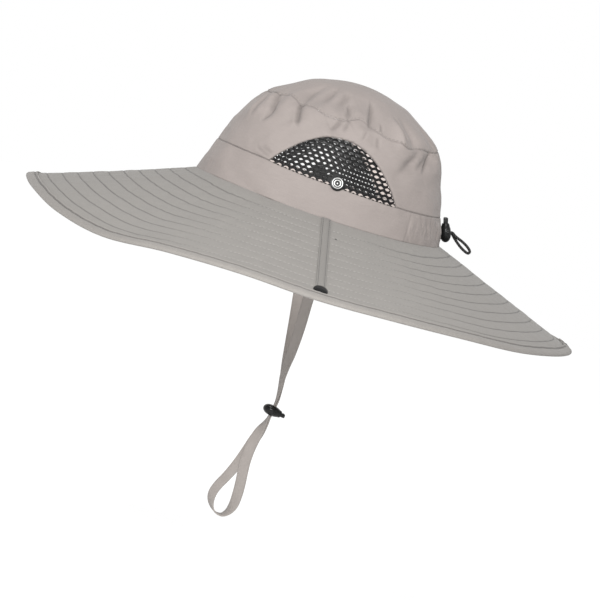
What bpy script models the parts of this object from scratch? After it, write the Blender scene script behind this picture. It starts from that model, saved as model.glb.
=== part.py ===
"""A wide brim fishing hat with side vents, snaps, a chin strap and a drawcord.

Metres, +Z up. The front of the hat is at -Y and the wearer's left is at +X. The origin is the
middle of the head opening, where the crown meets the brim. Angles round the hat start at the
front and grow towards the wearer's left."""

from bisect import bisect_right
from collections import namedtuple
from math import acos, asin, cos, exp, hypot, pi, radians, sin

import bmesh
import bpy
from mathutils import Matrix, Vector

# Crown sizes
HEAD_LENGTH = 0.208
HEAD_WIDTH = 0.1706
CROWN_HEIGHT = 0.1047
CROWN_SETBACK = 0.0032
CROWN_WALL = 0.0014
SEAM_DIP = 0.0038
BAND_HEIGHT = 0.0277
TIP_HEIGHT = 0.0765
FOLD_WIDTH = 0.008
FOLD_DEPTH = 0.0032
GATHER_DEPTH = 0.0009
GATHER_REACH = 0.010
GATHERS = 18

# Brim sizes
BRIM_REACH_LONG = 0.1272
BRIM_REACH_SIDE = 0.1258
BRIM_DROP = 0.0611
BRIM_WALL = 0.0014
BINDING_WIDTH = 0.008
BINDING_WALL = 0.001

# Vent sizes
VENT_WIDTH = 0.1065
VENT_HEIGHT = 0.0365
VENT_CENTRE = -0.002
VENT_LAP = 0.0035
NET_WALL = 0.001
NET_PITCH = 0.0112
NET_ROW = 0.0078
NET_HOLE_LENGTH = 0.0064
NET_HOLE_HEIGHT = 0.0040

# Snap and tab sizes
SOCKET_FLANGE = 0.0116
SOCKET_FLANGE_WALL = 0.0006
SOCKET_RING = 0.0094
SOCKET_BORE = 0.0060
SOCKET_HEIGHT = 0.0020
SOCKET_POST = 0.0030
SOCKET_RISE = 0.0025
STUD_DIAMETER = 0.0118
STUD_HEIGHT = 0.0030
TAB_WIDTH = 0.0076
TAB_WALL = 0.001

# Strap, cord and lock sizes
STRAP_WIDTH = 0.0088
STRAP_WALL = 0.0012
CORD_DIAMETER = 0.0023
LOCK_LENGTH = 0.0153
LOCK_WIDTH = 0.0145
LOCK_THICKNESS = 0.0087
LOCK_SLOT_SEAT = 0.0081
LOCK_SLOT_WIDTH = 0.0056
LOCK_SLOT_LENGTH = 0.0034
PLUNGER_WIDTH = 0.0074
PLUNGER_THICKNESS = 0.0032
CHIN_PLUNGER_SHOW = 0.0037
BACK_PLUNGER_SHOW = 0.0050
PLUNGER_TRAVEL = 0.0025
PLUNGER_FOOT = 0.0016
BACK_LOCK_RISE = 0.0113
BACK_LOCK_LEAN = 1.5
BAND_SLOT_WIDTH = 0.0056
BAND_SLOT_HEIGHT = 0.0033

# Clearances
PIECE_GAP = 0.0003
SEAM_GAP = 0.0004
TIP_SEAM_GAP = 0.0006
NET_GAP = 0.0009
BINDING_GAP = 0.0004

# Mesh density
COLUMNS = 72
LOWER_ROWS = 2
SIDE_ROWS = 6
TIP_ROWS = 4
BRIM_ROWS = 4
NET_COLUMNS = 14
NET_ROWS = 4
TURN_STEPS = 16

# The crown from the brim seam to the top: height as a share of the crown's, the section's length
# and width as shares of the head opening's, and how far back it sits as a share of CROWN_SETBACK.
Section = namedtuple("Section", "height length width back")
CROWN_SECTIONS = (
    Section(0.000, 1.000, 1.000, 0.00),
    Section(0.130, 0.962, 0.965, 0.08),
    Section(0.267, 0.914, 0.925, 0.14),
    Section(0.420, 0.864, 0.872, 0.10),
    Section(0.540, 0.815, 0.826, 0.41),
    Section(0.640, 0.768, 0.775, 0.80),
    Section(0.723, 0.703, 0.705, 1.00),
    Section(0.783, 0.624, 0.625, 1.05),
    Section(0.831, 0.547, 0.550, 1.05),
    Section(0.884, 0.455, 0.460, 1.03),
    Section(0.926, 0.373, 0.380, 1.00),
    Section(0.955, 0.284, 0.290, 1.00),
    Section(0.979, 0.195, 0.200, 1.00),
    Section(1.000, 0.000, 0.000, 1.00),
)

# Round the hat, by degrees from the front: the brim seam's dip, the band's height, the top
# seam's height and the brim's drop as shares of theirs, and how hollow the brim's slope is.
Station = namedtuple("Station", "angle dip band tip drop hollow")
STATIONS = (
    Station(0, 0.00, 1.000, 1.000, 0.772, 0.08),
    Station(15, 0.04, 0.998, 1.000, 0.840, 0.08),
    Station(30, 0.14, 0.997, 1.000, 0.964, 0.08),
    Station(45, 0.33, 0.993, 0.998, 1.016, 0.07),
    Station(60, 0.62, 0.980, 0.995, 0.896, 0.06),
    Station(75, 0.88, 0.965, 0.995, 0.829, 0.05),
    Station(90, 1.00, 0.953, 0.990, 0.834, 0.05),
    Station(105, 0.98, 0.920, 0.965, 0.802, 0.04),
    Station(120, 0.86, 0.890, 0.945, 0.781, 0.03),
    Station(135, 0.62, 0.865, 0.940, 0.786, 0.02),
    Station(150, 0.37, 0.845, 0.940, 0.760, 0.01),
    Station(165, 0.12, 0.838, 0.948, 0.747, 0.00),
    Station(180, 0.00, 0.834, 0.955, 0.754, 0.00),
)

# Folds beside the top seam: where each starts and ends, in degrees from the front and shares of
# the crown's height, with its width and depth as shares of FOLD_WIDTH and FOLD_DEPTH. A ridge
# has a negative depth.
Fold = namedtuple("Fold", "angle height to_angle to_height width depth")
FOLDS = (
    Fold(20, 0.71, 29, 0.49, 1.15, -0.80),
    Fold(31, 0.72, 38, 0.51, 0.75, 0.80),
    Fold(49, 0.72, 57, 0.56, 0.80, 0.85),
    Fold(50, 0.73, 40, 0.90, 0.90, 0.80),
    Fold(55, 0.75, 64, 0.90, 0.90, 0.70),
    Fold(72, 0.78, 76, 0.92, 0.80, 0.60),
    Fold(80, 0.85, 84, 0.70, 0.70, 0.65),
    Fold(83, 0.72, 75, 0.60, 0.80, 0.60),
    Fold(98, 0.71, 99, 0.92, 0.85, 1.00),
    Fold(103, 0.69, 103, 0.58, 0.80, 0.45),
    Fold(124, 0.67, 118, 0.85, 0.90, -0.70),
    Fold(131, 0.68, 126, 0.86, 0.80, 0.75),
    Fold(147, 0.67, 118, 0.46, 0.90, 0.65),
    Fold(153, 0.67, 134, 0.50, 0.80, 0.70),
    Fold(155, 0.69, 160, 0.84, 0.80, 0.75),
)
RIGHT_SIDE_TURN = 6
RIGHT_SIDE_DEPTH = 0.85

# Lock body from its closed end to its mouth: the distance from the slot as a share of the
# length on that side, and the section as a share of the widest one.
LockSection = namedtuple("LockSection", "along size")
LOCK_SECTIONS = (
    LockSection(-1.00, 0.22),
    LockSection(-0.93, 0.46),
    LockSection(-0.78, 0.72),
    LockSection(-0.50, 0.93),
    LockSection(-0.10, 1.00),
    LockSection(0.35, 0.93),
    LockSection(0.75, 0.74),
    LockSection(1.00, 0.64),
)
LOCK_SIDES = 16
LOCK_ROUNDNESS = 2.5

# The chin strap's chosen route, from inside the left of the crown through its lock, round the
# free loop and up to the right. Turn is the degrees that its width has turned from X towards Y,
# and width is a share of STRAP_WIDTH.
StrapPoint = namedtuple("StrapPoint", "x y z turn width")
CHIN_STRAP_ROUTE = (
    StrapPoint(0.0810, 0.0070, 0.0030, 90, 1.00),
    StrapPoint(0.0817, 0.0072, -0.0060, 90, 1.00),
    StrapPoint(0.0788, 0.0076, -0.0145, 90, 1.00),
    StrapPoint(0.0690, 0.0084, -0.0305, 90, 1.00),
    StrapPoint(0.0580, 0.0094, -0.0490, 88, 1.00),
    StrapPoint(0.0450, 0.0108, -0.0715, 82, 1.00),
    StrapPoint(0.0329, 0.0130, -0.0950, 70, 1.00),
    StrapPoint(0.0214, 0.0142, -0.1174, 50, 1.00),
    StrapPoint(0.0154, 0.0143, -0.1290, 34, 1.00),
    StrapPoint(0.0096, 0.0150, -0.1403, 22, 0.98),
    StrapPoint(0.0042, 0.0164, -0.1510, 12, 0.84),
    StrapPoint(0.0006, 0.0172, -0.1600, 4, 0.64),
    StrapPoint(0.0000, 0.0170, -0.1650, 0, 0.57),
    StrapPoint(0.0000, 0.01555, -0.1750, 0, 0.57),
    StrapPoint(0.0006, 0.0142, -0.1812, 22, 0.74),
    StrapPoint(0.0011, 0.0121, -0.1885, 55, 0.94),
    StrapPoint(0.0013, 0.0101, -0.1975, 80, 1.00),
    StrapPoint(0.0013, 0.0090, -0.2070, 84, 1.00),
    StrapPoint(0.0013, 0.0088, -0.2160, 84, 1.00),
    StrapPoint(0.0012, 0.0096, -0.2260, 82, 1.00),
    StrapPoint(0.0010, 0.0107, -0.2360, 78, 1.00),
    StrapPoint(0.0008, 0.0112, -0.2460, 68, 1.00),
    StrapPoint(0.0006, 0.0107, -0.2540, 52, 1.00),
    StrapPoint(0.0003, 0.0084, -0.2602, 30, 1.00),
    StrapPoint(0.0000, 0.0042, -0.2643, 14, 1.00),
    StrapPoint(-0.0003, -0.0008, -0.2643, 8, 1.00),
    StrapPoint(-0.0005, -0.0049, -0.2613, 14, 1.00),
    StrapPoint(-0.0008, -0.0078, -0.2560, 30, 1.00),
    StrapPoint(-0.0010, -0.0085, -0.2500, 44, 1.00),
    StrapPoint(-0.0012, -0.0066, -0.2430, 50, 1.00),
    StrapPoint(-0.0013, -0.0025, -0.2345, 54, 1.00),
    StrapPoint(-0.0014, 0.0014, -0.2258, 60, 1.00),
    StrapPoint(-0.0014, 0.0050, -0.2160, 72, 1.00),
    StrapPoint(-0.0014, 0.0078, -0.2062, 82, 1.00),
    StrapPoint(-0.0013, 0.0103, -0.1970, 80, 1.00),
    StrapPoint(-0.0011, 0.0131, -0.1885, 56, 0.94),
    StrapPoint(-0.0006, 0.0157, -0.1814, 22, 0.74),
    StrapPoint(0.0000, 0.01705, -0.1750, 0, 0.57),
    StrapPoint(0.0000, 0.0185, -0.1650, 0, 0.57),
    StrapPoint(-0.0006, 0.0189, -0.1600, 4, 0.64),
    StrapPoint(-0.0042, 0.0183, -0.1510, 12, 0.84),
    StrapPoint(-0.0096, 0.0172, -0.1403, 22, 0.98),
    StrapPoint(-0.0154, 0.0163, -0.1290, 34, 1.00),
    StrapPoint(-0.0214, 0.0157, -0.1174, 50, 1.00),
    StrapPoint(-0.0329, 0.0138, -0.0950, 70, 1.00),
    StrapPoint(-0.0450, 0.0112, -0.0715, 82, 1.00),
    StrapPoint(-0.0580, 0.0096, -0.0490, 88, 1.00),
    StrapPoint(-0.0690, 0.0084, -0.0305, 90, 1.00),
    StrapPoint(-0.0788, 0.0076, -0.0145, 90, 1.00),
    StrapPoint(-0.0817, 0.0072, -0.0060, 90, 1.00),
    StrapPoint(-0.0810, 0.0070, 0.0030, 90, 1.00),
)
STRAP_STEP = 0.0062
CHIN_LOCK_PLACE = Vector((0, 0.0170, -0.1700))
CHIN_LOCK_DIP = 8

# The drawcord's chosen route, out of the band's slot, through the lock, round the loop and back.
BACK_CORD_ROUTE = (
    (0.00130, 0.0988, 0.01030),
    (0.00130, 0.1017, 0.01122),
    (0.00130, 0.1055, 0.01243),
    (0.00130, 0.1093, 0.01362),
    (0.00130, 0.1111, 0.01385),
    (0.00130, 0.1130, 0.01260),
    (0.00120, 0.1161, 0.01120),
    (0.00100, 0.1202, 0.00980),
    (0.00060, 0.1246, 0.00780),
    (0.00020, 0.1283, 0.00530),
    (0.00000, 0.1297, 0.00330),
    (-0.00010, 0.1287, 0.00190),
    (-0.00030, 0.1260, 0.00250),
    (-0.00070, 0.1220, 0.00440),
    (-0.00110, 0.1183, 0.00690),
    (-0.00130, 0.1150, 0.00950),
    (-0.00130, 0.1122, 0.01200),
    (-0.00130, 0.1109, 0.01350),
    (-0.00130, 0.1093, 0.01362),
    (-0.00130, 0.1055, 0.01243),
    (-0.00130, 0.1017, 0.01122),
    (-0.00130, 0.0988, 0.01030),
)
CORD_STEP = 0.0030

# Colour, roughness and metallic value of each material
CLOTH = ((0.49, 0.44, 0.42), 0.75, 0.0)
BRIM_CLOTH = ((0.42, 0.41, 0.38), 0.75, 0.0)
BINDING_CLOTH = ((0.56, 0.50, 0.48), 0.8, 0.0)
NET = ((0.02, 0.02, 0.02), 0.6, 0.0)
BLACK_PLASTIC = ((0.012, 0.012, 0.012), 0.35, 0.0)
SNAP_METAL = ((0.55, 0.55, 0.54), 0.3, 1.0)
BLACK_CORD = ((0.015, 0.015, 0.015), 0.7, 0.0)


def smooth(places, values, at):
    """The value at a place, on a smooth curve through the values given at places."""
    last = len(places) - 1
    i = min(max(bisect_right(places, at) - 1, 0), last - 1)

    def slope(k):
        low, high = max(k - 1, 0), min(k + 1, last)
        return (values[high] - values[low]) / (places[high] - places[low])

    span = places[i + 1] - places[i]
    s = (at - places[i]) / span
    start = (1 + 2 * s) * (1 - s) ** 2 * values[i] + s * (1 - s) ** 2 * span * slope(i)
    end = s * s * (3 - 2 * s) * values[i + 1] + s * s * (s - 1) * span * slope(i + 1)
    return start + end


def mirrored(column):
    """A column of STATIONS with one row more at each end, so that it runs on round the hat."""
    values = [getattr(row, column) for row in STATIONS]
    return [values[1]] + values + [values[-2]]


STATION_ANGLES = [-STATIONS[1].angle] + [row.angle for row in STATIONS] + [360 - STATIONS[-2].angle]
STATION_VALUES = {column: mirrored(column) for column in Station._fields[1:]}
CROWN_PLACES = [asin(row.height) for row in CROWN_SECTIONS]
CROWN_LENGTHS = [row.length for row in CROWN_SECTIONS]
CROWN_WIDTHS = [row.width for row in CROWN_SECTIONS]
CROWN_BACKS = [row.back for row in CROWN_SECTIONS]


def station(column, angle):
    """One column of STATIONS at an angle in radians."""
    turn = abs((angle + pi) % (2 * pi) - pi)
    return smooth(STATION_ANGLES, STATION_VALUES[column], turn * 180 / pi)


def seam_height(angle):
    return -SEAM_DIP * station("dip", angle)


def share_at(angle, rise):
    """The share of the crown's height at a distance above the brim seam."""
    return rise / (CROWN_HEIGHT - seam_height(angle))


def band_rise(angle):
    return BAND_HEIGHT * station("band", angle)


def tip_rise(angle):
    return TIP_HEIGHT * station("tip", angle)


def crown_section(share):
    """Half length, half width and setback of the crown's section at a share of its height."""
    place = asin(min(max(share, 0), 1))
    length = HEAD_LENGTH / 2 * smooth(CROWN_PLACES, CROWN_LENGTHS, place)
    width = HEAD_WIDTH / 2 * smooth(CROWN_PLACES, CROWN_WIDTHS, place)
    return length, width, CROWN_SETBACK * smooth(CROWN_PLACES, CROWN_BACKS, place)


def plain_crown(angle, share):
    length, width, back = crown_section(share)
    seam = seam_height(angle)
    height = seam + share * (CROWN_HEIGHT - seam)
    return Vector((width * sin(angle), back - length * cos(angle), height))


def crown_normal(angle, share):
    """The direction straight out of the smooth crown."""
    share = min(share, 0.985)
    along = plain_crown(angle + 0.01, share) - plain_crown(angle - 0.01, share)
    up = plain_crown(angle, share + 0.004) - plain_crown(angle, max(share - 0.004, 0))
    return along.cross(up).normalized()


def fold_dent(fold, side, angle, share):
    """How far one fold pushes the cloth in at a place on the crown."""
    girth = HEAD_LENGTH * 0.36
    start = side * radians(fold.angle)
    end = side * radians(fold.to_angle)
    if side < 0:
        start -= radians(RIGHT_SIDE_TURN)
        end -= radians(RIGHT_SIDE_TURN)
    run = Vector(((end - start) * girth, (fold.to_height - fold.height) * CROWN_HEIGHT))
    turn = (angle - start + pi) % (2 * pi) - pi
    here = Vector((turn * girth, (share - fold.height) * CROWN_HEIGHT))
    length = run.length
    along = here.dot(run) / length ** 2
    across = (here.x * run.y - here.y * run.x) / length / (FOLD_WIDTH * fold.width)
    taper = exp(-((along - 0.4) / 0.42) ** 4)
    return FOLD_DEPTH * fold.depth * taper * exp(-(across ** 2))


def crown_dent(angle, share):
    """How far the folds and gathers push the cloth in at a place on the crown."""
    dent = sum(fold_dent(fold, 1, angle, share) for fold in FOLDS)
    dent += RIGHT_SIDE_DEPTH * sum(fold_dent(fold, -1, angle, share) for fold in FOLDS)
    off_seam = (share - share_at(angle, tip_rise(angle))) * CROWN_HEIGHT / GATHER_REACH
    return dent - GATHER_DEPTH / 2 * cos(GATHERS * angle) * exp(-off_seam ** 2)


def crown_point(angle, share, inwards=0.0):
    """A point of the crown's outer face, or of one a distance inside it."""
    off = crown_dent(angle, share) * min(1, (1 - share) / 0.1) + inwards
    return plain_crown(angle, share) - crown_normal(angle, share) * off


def crown_angle_at(y, rise_of):
    """The angle on the left of the crown where a rise above the brim seam has this y."""
    angle = pi / 2
    for _ in range(6):
        length, _, back = crown_section(share_at(angle, rise_of(angle)))
        angle = acos(min(max((back - y) / length, -1), 1))
    return angle


def brim_point(angle, share, lift=0.0):
    """A point on the brim's upper face, a share of the way out from the seam to the edge."""
    seam = seam_height(angle)
    hollow = station("hollow", angle)
    drop = BRIM_DROP * station("drop", angle) * share * (1 + hollow * (1 - share))
    half_width = HEAD_WIDTH / 2 + BRIM_REACH_SIDE * share
    half_length = HEAD_LENGTH / 2 + BRIM_REACH_LONG * share
    point = Vector((half_width * sin(angle), -half_length * cos(angle), seam - drop))
    return point + brim_normal(angle, share) * lift if lift else point


def brim_normal(angle, share):
    share = min(max(share, 0.02), 0.98)
    along = brim_point(angle + 0.01, share) - brim_point(angle - 0.01, share)
    out = brim_point(angle, share + 0.01) - brim_point(angle, share - 0.01)
    return out.cross(along).normalized()


def clear_scene():
    for obj in list(bpy.data.objects):
        bpy.data.objects.remove(obj, do_unlink=True)


def new_collection(name):
    collection = bpy.data.collections.new(name)
    bpy.context.scene.collection.children.link(collection)
    return collection


def new_material(name, look):
    colour, roughness, metallic = look
    material = bpy.data.materials.new(name)
    material.use_nodes = True
    shader = material.node_tree.nodes["Principled BSDF"]
    shader.inputs["Base Color"].default_value = (*colour, 1)
    shader.inputs["Roughness"].default_value = roughness
    shader.inputs["Metallic"].default_value = metallic
    return material


def add_object(name, data, look, collection):
    obj = bpy.data.objects.new(name, data)
    data.materials.append(new_material(name, look))
    collection.objects.link(obj)
    return obj


def loft(rings, round_rings=True, caps=False, mesh=None):
    """A mesh through rings of points. A ring of one point closes the mesh there."""
    mesh = mesh or bmesh.new()
    made = [[mesh.verts.new(point) for point in ring] for ring in rings]
    for low, high in zip(made, made[1:]):
        count = max(len(low), len(high))
        for i in range(count if round_rings else count - 1):
            j = (i + 1) % count
            corners = [low[i % len(low)], low[j % len(low)], high[j % len(high)], high[i % len(high)]]
            mesh.faces.new(list(dict.fromkeys(corners)))
    if caps:
        mesh.faces.new(made[0][::-1])
        mesh.faces.new(made[-1])
    return mesh


def as_data(name, mesh):
    data = bpy.data.meshes.new(name)
    mesh.to_mesh(data)
    mesh.free()
    data.shade_smooth()
    return data


def add_solidify(obj, thickness):
    """Thickens an open surface towards its back."""
    wall = obj.modifiers.new("wall", "SOLIDIFY")
    wall.thickness = thickness
    wall.offset = -1
    return obj


def add_cut(obj, cutter):
    cut = obj.modifiers.new("cut_" + cutter.name, "BOOLEAN")
    cut.operation = "DIFFERENCE"
    cut.object = cutter


def add_cutter(name, mesh, cutters):
    """A helper solid that is cut from a part and isn't a part itself."""
    bmesh.ops.recalc_face_normals(mesh, faces=mesh.faces)
    obj = bpy.data.objects.new(name, as_data(name, mesh))
    cutters.objects.link(obj)
    obj.hide_render = True
    obj.display_type = "WIRE"
    return obj


def box_mesh(size, place):
    """A box of a size, centred on a place given by a matrix."""
    mesh = bmesh.new()
    bmesh.ops.create_cube(mesh, size=1, matrix=place @ Matrix.Diagonal((*size, 1)))
    return mesh


def angles():
    return [2 * pi * i / COLUMNS for i in range(COLUMNS)]


def crown_rings(low, high, rows):
    """Rings of the crown between two shares of its height, each a function of the angle."""
    rings = []
    for row in range(rows + 1):
        s = row / rows
        ring = []
        for angle in angles():
            start, end = asin(low(angle)), asin(high(angle))
            ring.append(crown_point(angle, sin(start + s * (end - start))))
        rings.append(ring)
    return rings


def make_band(parts, cutters):
    """The strip of cloth round the head, with a slot at the back for the drawcord."""
    rings = crown_rings(
        lambda angle: share_at(angle, SEAM_GAP),
        lambda angle: share_at(angle, band_rise(angle)),
        LOWER_ROWS,
    )
    band = add_object("band", as_data("band", loft(rings)), CLOTH, parts)
    add_solidify(band, CROWN_WALL)
    seat, frame = back_lock_seat()
    size = (BAND_SLOT_WIDTH, 2 * LOCK_THICKNESS, BAND_SLOT_HEIGHT)
    slot = add_cutter("band_slot", box_mesh(size, Matrix.Translation(seat) @ frame), cutters)
    add_cut(band, slot)


def vent_outline():
    """The vent's arch from front to back, as pairs of y and height above its chord."""
    for i in range(25):
        p = -cos(pi * i / 24)
        yield VENT_CENTRE + p * VENT_WIDTH / 2, VENT_HEIGHT * (1 - abs(p) ** 2.1)


def chord_height(y):
    """The height of the band's top edge at this y on the left side."""
    angle = crown_angle_at(y, band_rise)
    return seam_height(angle) + band_rise(angle)


def vent_cutter(cutters):
    """Two arched prisms, one through each side of the crown, that reach below its lower edge."""
    outline = [(y, chord_height(y) + rise) for y, rise in vent_outline()]
    below = min(z for _, z in outline) - 4 * SEAM_GAP
    outline = [(outline[0][0], below)] + outline + [(outline[-1][0], below)]
    near, far = HEAD_WIDTH / 5, HEAD_WIDTH
    prisms = None
    for side in (1, -1):
        rings = [[(side * x, y, z) for y, z in outline] for x in (near, far)]
        prisms = loft(rings, caps=True, mesh=prisms)
    return add_cutter("vents", prisms, cutters)


def make_crown_side(parts, cutters):
    """The sloping wall of the crown, with an arched vent cut in each side."""
    rings = crown_rings(
        lambda angle: share_at(angle, band_rise(angle) + SEAM_GAP),
        lambda angle: share_at(angle, tip_rise(angle) - TIP_SEAM_GAP),
        SIDE_ROWS,
    )
    wall = add_object("crown_side", as_data("crown_side", loft(rings)), CLOTH, parts)
    add_solidify(wall, CROWN_WALL)
    add_cut(wall, vent_cutter(cutters))


def make_crown_top(parts):
    """The domed panel on top of the crown."""
    rings = crown_rings(
        lambda angle: share_at(angle, tip_rise(angle) + TIP_SEAM_GAP), lambda angle: 1.0, TIP_ROWS
    )
    rings[-1] = [plain_crown(0, 1)]
    top = add_object("crown_top", as_data("crown_top", loft(rings)), CLOTH, parts)
    add_solidify(top, CROWN_WALL)


def net_point(side, p, q):
    """A point of a vent's net, p across from -1 to 1 and q up from 0 to 1."""
    y = VENT_CENTRE + p * (VENT_WIDTH / 2 + VENT_LAP)
    arch = max(1 - abs(p) ** 2.1, 0) * VENT_HEIGHT
    rise = -VENT_LAP + q * (arch + 2 * VENT_LAP)
    angle = crown_angle_at(y, lambda turn: band_rise(turn) + rise)
    share = share_at(angle, band_rise(angle) + rise)
    return crown_point(side * angle, share, CROWN_WALL + NET_GAP)


def net_holes(name, side, cutters):
    """Staggered rows of lens shaped holes inside the vent's outline, clear of the snap."""
    holes = bmesh.new()
    near, far = HEAD_WIDTH / 5, HEAD_WIDTH
    rows = int(VENT_HEIGHT / NET_ROW) + 1
    across = int(VENT_WIDTH / NET_PITCH) + 2
    for row in range(rows):
        rise = NET_ROW * (row + 0.45)
        for column in range(-across, across + 1):
            y = VENT_CENTRE + NET_PITCH * (column / 2)
            if (column + row) % 2:
                continue
            half = VENT_WIDTH / 2 - NET_HOLE_LENGTH / 2
            p = (abs(y - VENT_CENTRE) + NET_HOLE_LENGTH / 3) / half
            if p >= 1 or rise + NET_HOLE_HEIGHT / 2 > VENT_HEIGHT * (1 - p ** 2.1):
                continue
            if hypot(y, rise - SOCKET_RISE) < (SOCKET_FLANGE + NET_HOLE_LENGTH) / 2:
                continue
            z = chord_height(y) + rise
            corners = ((1, 0), (0, 1), (-1, 0), (0, -1))
            ends = []
            for x in (near, far):
                ends.append([
                    holes.verts.new((side * x, y + NET_HOLE_LENGTH / 2 * a, z + NET_HOLE_HEIGHT / 2 * b))
                    for a, b in corners
                ])
            holes.faces.new(ends[0])
            holes.faces.new(ends[1][::-1])
            for i in range(4):
                j = (i + 1) % 4
                holes.faces.new((ends[0][i], ends[0][j], ends[1][j], ends[1][i]))
    return add_cutter(name, holes, cutters)


def make_vent_net(name, side, parts, cutters):
    """The net behind one vent, lapped behind the crown's wall and the band."""
    rings = []
    for row in range(NET_ROWS + 1):
        ring = []
        for column in range(NET_COLUMNS + 1):
            p = sin(pi / 2 * (2 * column / NET_COLUMNS - 1) * 0.9) / sin(pi / 2 * 0.9)
            ring.append(net_point(side, side * p, row / NET_ROWS))
        rings.append(ring)
    net = add_object(name, as_data(name, loft(rings, round_rings=False)), NET, parts)
    add_solidify(net, NET_WALL)
    add_cut(net, net_holes(name + "_holes", side, cutters))


def make_brim(parts):
    """The wide sloping brim."""
    rings = []
    for row in range(BRIM_ROWS + 1):
        share = 1 - row / BRIM_ROWS
        rings.append([brim_point(angle, share) for angle in angles()])
    brim = add_object("brim", as_data("brim", loft(rings)), BRIM_CLOTH, parts)
    add_solidify(brim, BRIM_WALL)


def make_binding(parts):
    """The folded tape that wraps the brim's edge, as a turned U section."""
    top = BINDING_GAP
    bottom = -BRIM_WALL - BINDING_GAP
    section = (
        (-BINDING_WIDTH, top),
        (BINDING_GAP, top),
        (BINDING_GAP, bottom),
        (-BINDING_WIDTH, bottom),
        (-BINDING_WIDTH, bottom - BINDING_WALL),
        (BINDING_GAP + BINDING_WALL, bottom - BINDING_WALL * 0.6),
        (BINDING_GAP + BINDING_WALL, top + BINDING_WALL * 0.6),
        (-BINDING_WIDTH, top + BINDING_WALL),
    )
    rings = []
    for angle in angles() + [0]:
        edge = brim_point(angle, 1)
        out = (edge - brim_point(angle, 0.98)).normalized()
        normal = brim_normal(angle, 1)
        normal = (normal - out * normal.dot(out)).normalized()
        rings.append([edge + out * a + normal * b for a, b in section])
    mesh = loft(rings)
    bmesh.ops.remove_doubles(mesh, verts=mesh.verts, dist=1e-6)
    bmesh.ops.recalc_face_normals(mesh, faces=mesh.faces)
    add_object("brim_binding", as_data("brim_binding", mesh), BINDING_CLOTH, parts)


def brim_side_point(side, y, share, lift):
    """A point over the side of the brim at a given y."""
    half_length = HEAD_LENGTH / 2 + BRIM_REACH_LONG * share
    return brim_point(side * acos(-y / half_length), share, lift)


def brim_share_in(distance):
    """The share of the brim's reach that lies a distance in from its edge at the side."""
    width = (brim_point(pi / 2, 1) - brim_point(pi / 2, 0)).length
    return 1 - distance / width


def make_tab(name, side, parts):
    """The stitched strip down the side of the brim, from the band to the snap's stud."""
    inner = 1 - brim_share_in(PIECE_GAP)
    outer = brim_share_in(BINDING_WIDTH + STUD_DIAMETER + 3 * PIECE_GAP)
    rings = []
    for row in range(9):
        share = inner + (outer - inner) * row / 8
        ring = []
        for column in (-1, 0, 1):
            y = -side * column * TAB_WIDTH / 2
            ring.append(brim_side_point(side, y, share, TAB_WALL + PIECE_GAP))
        rings.append(ring)
    tab = add_object(name, as_data(name, loft(rings, round_rings=False)), BRIM_CLOTH, parts)
    add_solidify(tab, TAB_WALL)


def make_turned(name, profile, place, look, parts):
    """A round piece turned from a profile that runs down its outer side, top to bottom."""
    mesh = bmesh.new()
    verts = [mesh.verts.new((radius, 0, height)) for radius, height in profile]
    for low, high in zip(verts, verts[1:]):
        mesh.edges.new((low, high))
    obj = add_object(name, as_data(name, mesh), look, parts)
    turn = obj.modifiers.new("turn", "SCREW")
    turn.steps = TURN_STEPS
    turn.render_steps = TURN_STEPS
    turn.use_merge_vertices = True
    turn.merge_threshold = 1e-5
    obj.matrix_world = place
    return obj


def frame_along(normal, place, upright=Vector((0, 0, 1))):
    """A matrix at a place whose Z runs along a normal."""
    side = upright.cross(normal).normalized()
    up = normal.cross(side)
    turn = Matrix((side, up, normal)).transposed().to_4x4()
    return Matrix.Translation(place) @ turn


def make_snap_socket(name, side, parts):
    """The ring on the crown that the brim's stud snaps into, with its post down to the net."""
    angle = crown_angle_at(0, band_rise)
    share = share_at(angle, band_rise(angle) + SOCKET_RISE)
    angle *= side
    normal = crown_normal(angle, share)
    place = frame_along(normal, crown_point(angle, share, -PIECE_GAP))
    ring, bore = SOCKET_RING / 2, SOCKET_BORE / 2
    flange, wall = SOCKET_FLANGE / 2, SOCKET_FLANGE_WALL
    rounding = (ring - bore) / 4
    profile = (
        (0, SOCKET_HEIGHT * 0.75),
        (bore * 0.32, SOCKET_HEIGHT * 0.75),
        (bore * 0.48, SOCKET_HEIGHT * 0.45),
        (bore, SOCKET_HEIGHT * 0.45),
        (bore, SOCKET_HEIGHT - rounding),
        (bore + rounding, SOCKET_HEIGHT),
        (ring - rounding, SOCKET_HEIGHT),
        (ring, SOCKET_HEIGHT - rounding),
        (ring, wall),
        (flange - wall / 2, wall),
        (flange, wall / 2),
        (flange, 0),
        (SOCKET_POST / 2, 0),
        (SOCKET_POST / 2, -CROWN_WALL - PIECE_GAP),
        (0, -CROWN_WALL - PIECE_GAP),
    )
    make_turned(name, profile, place, SNAP_METAL, parts)


def make_snap_stud(name, side, parts):
    """The domed stud between the tab's outer end and the binding."""
    share = brim_share_in(BINDING_WIDTH + STUD_DIAMETER / 2 + 2 * PIECE_GAP)
    angle = side * pi / 2
    seat = brim_point(angle, share, PIECE_GAP)
    place = frame_along(brim_normal(angle, share), seat)
    radius = STUD_DIAMETER / 2
    profile = [(0, STUD_HEIGHT)]
    for degrees in (20, 40, 60, 75, 90):
        turn = radians(degrees)
        rim = STUD_HEIGHT * 0.3
        profile.append((radius * sin(turn), rim + (STUD_HEIGHT - rim) * cos(turn)))
    profile += [(radius * 0.94, 0), (0, 0)]
    make_turned(name, profile, place, BLACK_PLASTIC, parts)


def resample(points, step):
    """Points a step apart or closer on a smooth curve through chosen rows of numbers."""
    places = [0.0]
    for low, high in zip(points, points[1:]):
        places.append(places[-1] + (Vector(high[:3]) - Vector(low[:3])).length)
    count = round(places[-1] / step)
    columns = list(zip(*points))
    return [
        [smooth(places, column, places[-1] * i / count) for column in columns] for i in range(count + 1)
    ]


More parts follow.
